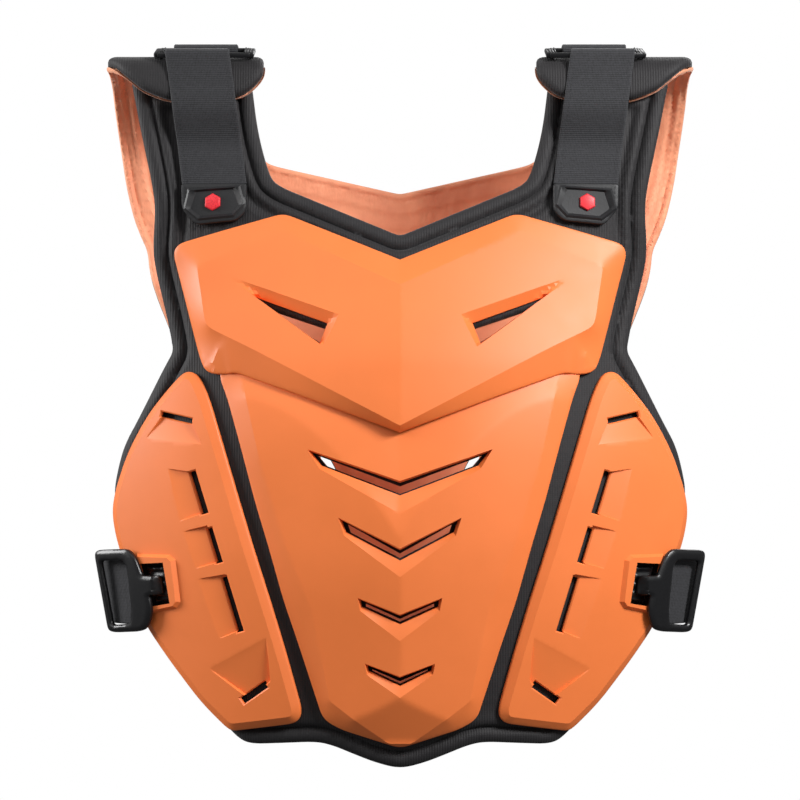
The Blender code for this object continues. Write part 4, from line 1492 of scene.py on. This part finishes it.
def build_straps():
    """Shoulder straps over the rings' bars, their sewn anchors and the side straps."""
    radius = BAR_RADIUS + WEBBING / 2
    wrap = arc_points(STRAP_BAR, radius, 0.35, math.pi)
    strap_rows = smooth_path(list(STRAP_PATH) + wrap, 0.0015)
    wrap = arc_points(ANCHOR_BAR, radius, math.pi, 0.0)
    anchor_rows = smooth_path([ANCHOR_START] + wrap + list(ANCHOR_END), 0.0018)
    side_rows = smooth_path([(a * HALF, -b * HALF) for a, b in SIDE_STRAP_PATH], 0.0020)

    def on_chest(across, point, way, height):
        level = point.x - way.y * height
        w = point.y + way.x * height
        shift = STRAP_LEAN * (level + 0.088)
        return bend("front", STRAP_MIDDLE + across + shift, level, w)

    def on_yoke(across, point, way, height):
        return bend("back", RING_MIDDLE + across, point.x - way.y * height,
                    point.y + way.x * height)

    def round_side(across, point, way, height):
        x = point.x - way.y * height
        y = point.y + way.x * height
        shift = 0.19 * across * ease((0.050 - y) / 0.070)
        lie = 0.07 * across * ease((y - 0.020) / 0.040)
        return Vector((x + shift, y + 0.75 * shift + lie, SIDE_STRAP_LEVEL + across))

    for flip, word in SIDES:
        show(ribbon("shoulder_webbing_" + word, strap_rows, STRAP_WIDTH, on_chest, flip),
             "shoulder_strap_" + word)
        show(ribbon("anchor_webbing_" + word, anchor_rows, STRAP_WIDTH, on_yoke, flip),
             "ring_anchor_" + word)
        show(ribbon("side_webbing_" + word, side_rows, SIDE_STRAP_WIDTH, round_side, flip),
             "side_strap_" + word)
        for sign, edge_word in ((-1, "inner"), (1, "outer")):
            across = sign * (STRAP_WIDTH / 2 - WEBBING_SEAM)

            def seam_place(u, v, w, across=across):
                point, way = along(strap_rows, u)
                return on_chest(across + v, point, way, WEBBING / 2 - 0.0001 + w)

            stitches("strap_seam_%s_%s" % (edge_word, word), SEAM_RUN, seam_place,
                     "webbing_black", flip)


def badge_mesh():
    """Plain raised hexagon with a sloping rim, bent over the tab."""
    middle = Vector(scaled([BADGE_MIDDLE])[0])
    foot, edge, top = BADGE_LEVELS
    bm = bmesh.new()
    bmesh.ops.create_circle(bm, cap_ends=True, radius=BADGE_RADIUS, segments=6)
    bmesh.ops.inset_region(bm, faces=bm.faces[:], thickness=0.0008, use_boundary=True)
    rim = [e for e in bm.edges if e.is_boundary]
    outer = {v for e in rim for v in e.verts}
    for vert in bm.verts:
        vert.co.z = edge if vert in outer else top
    made = bmesh.ops.extrude_edge_only(bm, edges=rim)
    for vert in made["geom"]:
        if isinstance(vert, bmesh.types.BMVert):
            vert.co.z = foot
    bmesh.ops.contextual_create(bm, geom=[e for e in bm.edges if e.is_boundary])
    for vert in bm.verts:
        vert.co = bend("front", middle.x + vert.co.x, middle.y + vert.co.y, vert.co.z)
    bmesh.ops.recalc_face_normals(bm, faces=bm.faces)
    return bm


def build_tabs():
    """Rubber tabs on the strap ends, each with a sunk panel, stitches and a plain badge."""
    edge_loop = flat_only(soften(scaled(TAB_EDGE), steps=5))
    edge = Loop(edge_loop)
    ring = scaled(TAB_PANEL)
    floor = scaled(TAB_FLOOR)
    swell = inset(ring, -0.0016)

    def base(u, v):
        d, _ = edge.near(u, v)
        return TAB_TOP - 0.6 * rounded_rim(d, 0.0022)

    top = pressed(base, [(swell, ring)], -PANEL_SWELL)
    top = pressed(top, [(ring, floor)], PANEL_PRESS)
    seam = inset(edge_loop, 0.0032)
    bm_lines = [inset(edge_loop, 0.0006), inset(edge_loop, 0.0022), swell, ring, floor]
    for flip, word in SIDES:
        bm = flat_mesh(edge_loop, [], bm_lines, 0.0024)
        show(dressed("tab_rubber_" + word, bm, "front", lambda u, v: REST, top, "rubber_black",
                     flip=flip, smooth_angle=18.0),
             "strap_tab_" + word)
        stitches("tab_stitches_" + word, seam + seam[:1],
                 lambda u, v, w: bend("front", u, v, TAB_TOP + w), "rubber_black", flip)
        bm = badge_mesh()
        if flip:
            mirror_mesh(bm)
        bmesh.ops.bevel(bm, geom=bm.edges[:], offset=0.00025, offset_type="OFFSET", segments=2,
                        profile=0.5, affect="EDGES", material=-1)
        show(finish_mesh("badge_" + word, bm, "badge_red", 30.0), "tab_badge_" + word)


def build_rings():
    """Nylon rings on the yokes, with four grip ribs on each end."""
    wide, deep, bar, end = 0.078, 0.034, 0.0040, 0.0085
    tilt = math.radians(13.0)
    for flip, word in SIDES:
        bm = bmesh.new()

        def block(x, y, z, sx, sy, sz, bevel):
            made = bmesh.ops.create_cube(bm, size=1.0)["verts"]
            for vert in made:
                vert.co = (x + vert.co.x * sx, y + vert.co.y * sy, z + vert.co.z * sz)
            edges = {e for v in made for e in v.link_edges}
            bmesh.ops.bevel(bm, geom=list(edges), offset=bevel, offset_type="OFFSET",
                            segments=2, profile=0.5, affect="EDGES", material=-1)

        for side in (-1, 1):
            block(0.0, side * (deep / 2 - bar / 2), 0.0, wide - 0.006, bar, bar, 0.0011)
            block(side * (wide / 2 - end / 2), 0.0, 0.0, end, deep - 0.004, bar, 0.0012)
            for k in range(4):
                across = side * (wide / 2 - end + 0.0012 + 0.0020 * k)
                block(across, -0.001, 0.0004 - 0.0003 * k,
                      0.0011, deep - 0.007 - 0.0016 * k, bar + 0.0012, 0.0003)
        for vert in bm.verts:
            x, y, z = vert.co
            y += deep / 2 - bar / 2
            vert.co = (
                RING_MIDDLE + x,
                RING_PLACE[0] + y * math.cos(tilt) - z * math.sin(tilt),
                RING_PLACE[1] + y * math.sin(tilt) + z * math.cos(tilt),
            )
        if flip:
            mirror_mesh(bm)
        show(finish_mesh("ring_nylon_" + word, bm, "plastic_black", 30.0),
             "shoulder_ring_" + word)


def build_buckles():
    """Side buckles: a bevelled frame with a tongue, and the ribbed catch in the notch."""
    frame_rows = flat_only(soften(scaled(BUCKLE_FRAME), steps=5))
    hole_rows = flat_only(soften(scaled(BUCKLE_HOLE), steps=5))
    catch_rows = flat_only(soften(scaled(CATCH), steps=4))
    outer = Loop(frame_rows)
    inner = Loop(hole_rows)
    catch = Loop(catch_rows)

    def drop(u):
        return 0.0058 * ease((0.1835 - abs(u)) / 0.004)

    def high(u, v):
        a, _ = outer.near(u, v)
        b, _ = inner.near(u, v)
        crown = 0.0009 * min(1.0, a / 0.0030, b / 0.0016)
        return BUCKLE_TOP - drop(u) + crown - 0.8 * rounded_rim(min(a, b), 0.0012)

    def low(u, v):
        a, _ = outer.near(u, v)
        b, _ = inner.near(u, v)
        return BUCKLE_FOOT - drop(u) + 0.5 * rounded_rim(min(a, b), 0.0008)

    def ribs(u, v):
        d, _ = catch.near(u, v)
        down = -v / DROP
        wave = 0.0012 * (0.5 + 0.5 * math.cos((down - 0.741) * 2 * math.pi / 0.0120))
        return CATCH_TOP + wave * min(1.0, d / 0.002) - 0.6 * rounded_rim(d, 0.0010)

    for flip, word in SIDES:
        lines = [inset(frame_rows, d) for d in (0.0004, 0.0012, 0.0030)]
        lines += [inset(hole_rows, d) for d in (-0.0004, -0.0012)]
        bm = flat_mesh(frame_rows, [hole_rows], lines, 0.0018)
        show(dressed("buckle_nylon_" + word, bm, "front", low, high, "plastic_black",
                     flip=flip, smooth_angle=24.0),
             "side_buckle_" + word)
        bm = flat_mesh(catch_rows, [], [inset(catch_rows, 0.0010)], 0.0012)
        show(dressed("catch_nylon_" + word, bm, "front", lambda u, v: REST, ribs,
                     "plastic_black", flip=flip, smooth_angle=40.0),
             "side_catch_" + word)


class VEST_OT_pads(bpy.types.Operator):
    """Add the padded panels and their linings"""
    bl_idname = "vest.add_pads"
    bl_label = "Add pads and linings"

    def execute(self, context):
        build_front_pad()
        build_back_pad()
        return {"FINISHED"}


class VEST_OT_plates(bpy.types.Operator):
    """Add the hard plates"""
    bl_idname = "vest.add_plates"
    bl_label = "Add plates"

    def execute(self, context):
        build_chest()
        build_belly()
        build_sides()
        return {"FINISHED"}


class VEST_OT_straps(bpy.types.Operator):
    """Add the shoulder straps, their anchors and the side straps"""
    bl_idname = "vest.add_straps"
    bl_label = "Add webbing"

    def execute(self, context):
        build_straps()
        return {"FINISHED"}


class VEST_OT_tabs(bpy.types.Operator):
    """Add the rubber tabs with their badges"""
    bl_idname = "vest.add_tabs"
    bl_label = "Add tabs and badges"

    def execute(self, context):
        build_tabs()
        return {"FINISHED"}


class VEST_OT_buckles(bpy.types.Operator):
    """Add the shoulder rings and the side buckles"""
    bl_idname = "vest.add_buckles"
    bl_label = "Add rings and buckles"

    def execute(self, context):
        build_rings()
        build_buckles()
        return {"FINISHED"}


class VEST_OT_stage(bpy.types.Operator):
    """Add the lights and the camera"""
    bl_idname = "vest.add_stage"
    bl_label = "Add stage"

    def execute(self, context):
        build_stage()
        return {"FINISHED"}


class VEST_PT_panel(bpy.types.Panel):
    """Panel with the vest's sizes, colours and operators"""
    bl_idname = "VEST_PT_panel"
    bl_label = "Motorcycle armour vest"
    bl_space_type = "VIEW_3D"
    bl_region_type = "UI"
    bl_category = "Vest"

    def draw(self, context):
        column = self.layout.column()
        for name in ("fine", "soft", "plate_color", "lining_color", "fabric_color",
                     "webbing_color"):
            column.prop(context.scene.armour_vest, name)
        for name in ("pads", "plates", "straps", "tabs", "buckles", "stage"):
            column.operator("vest.add_" + name)


CLASSES = (
    VestSettings, VEST_OT_pads, VEST_OT_plates, VEST_OT_straps, VEST_OT_tabs, VEST_OT_buckles,
    VEST_OT_stage, VEST_PT_panel,
)


def register():
    """Register the add-on."""
    for item in CLASSES:
        bpy.utils.register_class(item)
    bpy.types.Scene.armour_vest = bpy.props.PointerProperty(type=VestSettings)


def unregister():
    """Unregister the add-on."""
    del bpy.types.Scene.armour_vest
    for item in reversed(CLASSES):
        bpy.utils.unregister_class(item)


def add_light(name, place, target, power, size):
    """Square area light aimed at a point."""
    data = bpy.data.lights.new(name, "AREA")
    data.energy = power
    data.shape = "SQUARE"
    data.size = size
    obj = bpy.data.objects.new(name, data)
    obj.location = place
    obj.rotation_euler = (Vector(target) - Vector(place)).to_track_quat("-Z", "Y").to_euler()
    bpy.context.scene.collection.objects.link(obj)


def build_stage():
    """White surround, soft lights and the camera."""
    world = bpy.data.worlds.new("soft studio")
    bpy.context.scene.world = world
    world.use_nodes = True
    tree = world.node_tree
    # Brighter overhead than underfoot, so that faces turned down fall dark
    way = add_node(tree, "ShaderNodeTexCoord").outputs["Generated"]
    parts = add_node(tree, "ShaderNodeSeparateXYZ", {"Vector": way})
    level = add_node(tree, "ShaderNodeMapRange", {
        "Value": parts.outputs["Z"], "From Min": -0.5, "From Max": 0.7,
        "To Min": 0.13, "To Max": 0.30})
    sky = add_node(tree, "ShaderNodeBackground", {
        "Color": (1.0, 1.0, 1.0, 1.0), "Strength": level.outputs["Result"]})
    paper = tree.nodes["Background"]
    paper.inputs["Color"].default_value = (1.0, 1.0, 1.0, 1.0)
    seen = add_node(tree, "ShaderNodeLightPath").outputs["Is Camera Ray"]
    both = add_node(tree, "ShaderNodeMixShader", {
        0: seen, 1: sky.outputs["Background"], 2: paper.outputs["Background"]})
    tree.links.new(both.outputs["Shader"], tree.nodes["World Output"].inputs["Surface"])
    for row in LIGHTS:
        add_light(*row)
    camera_data = bpy.data.cameras.new("camera")
    camera_data.lens = CAMERA_LENS
    camera_data.sensor_width = 36.0
    camera_data.clip_start = 0.05
    camera = bpy.data.objects.new("camera", camera_data)
    camera.location = CAMERA_PLACE
    camera.rotation_euler = (math.radians(90.0), 0.0, 0.0)
    bpy.context.scene.collection.objects.link(camera)
    bpy.context.scene.camera = camera
    bpy.context.scene.view_settings.view_transform = "Standard"


def main():
    """Register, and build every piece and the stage."""
    register()
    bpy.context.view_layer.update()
    bpy.ops.vest.add_pads()
    bpy.ops.vest.add_plates()
    bpy.ops.vest.add_straps()
    bpy.ops.vest.add_tabs()
    bpy.ops.vest.add_buckles()
    bpy.ops.vest.add_stage()


if __name__ == "__main__":
    main()
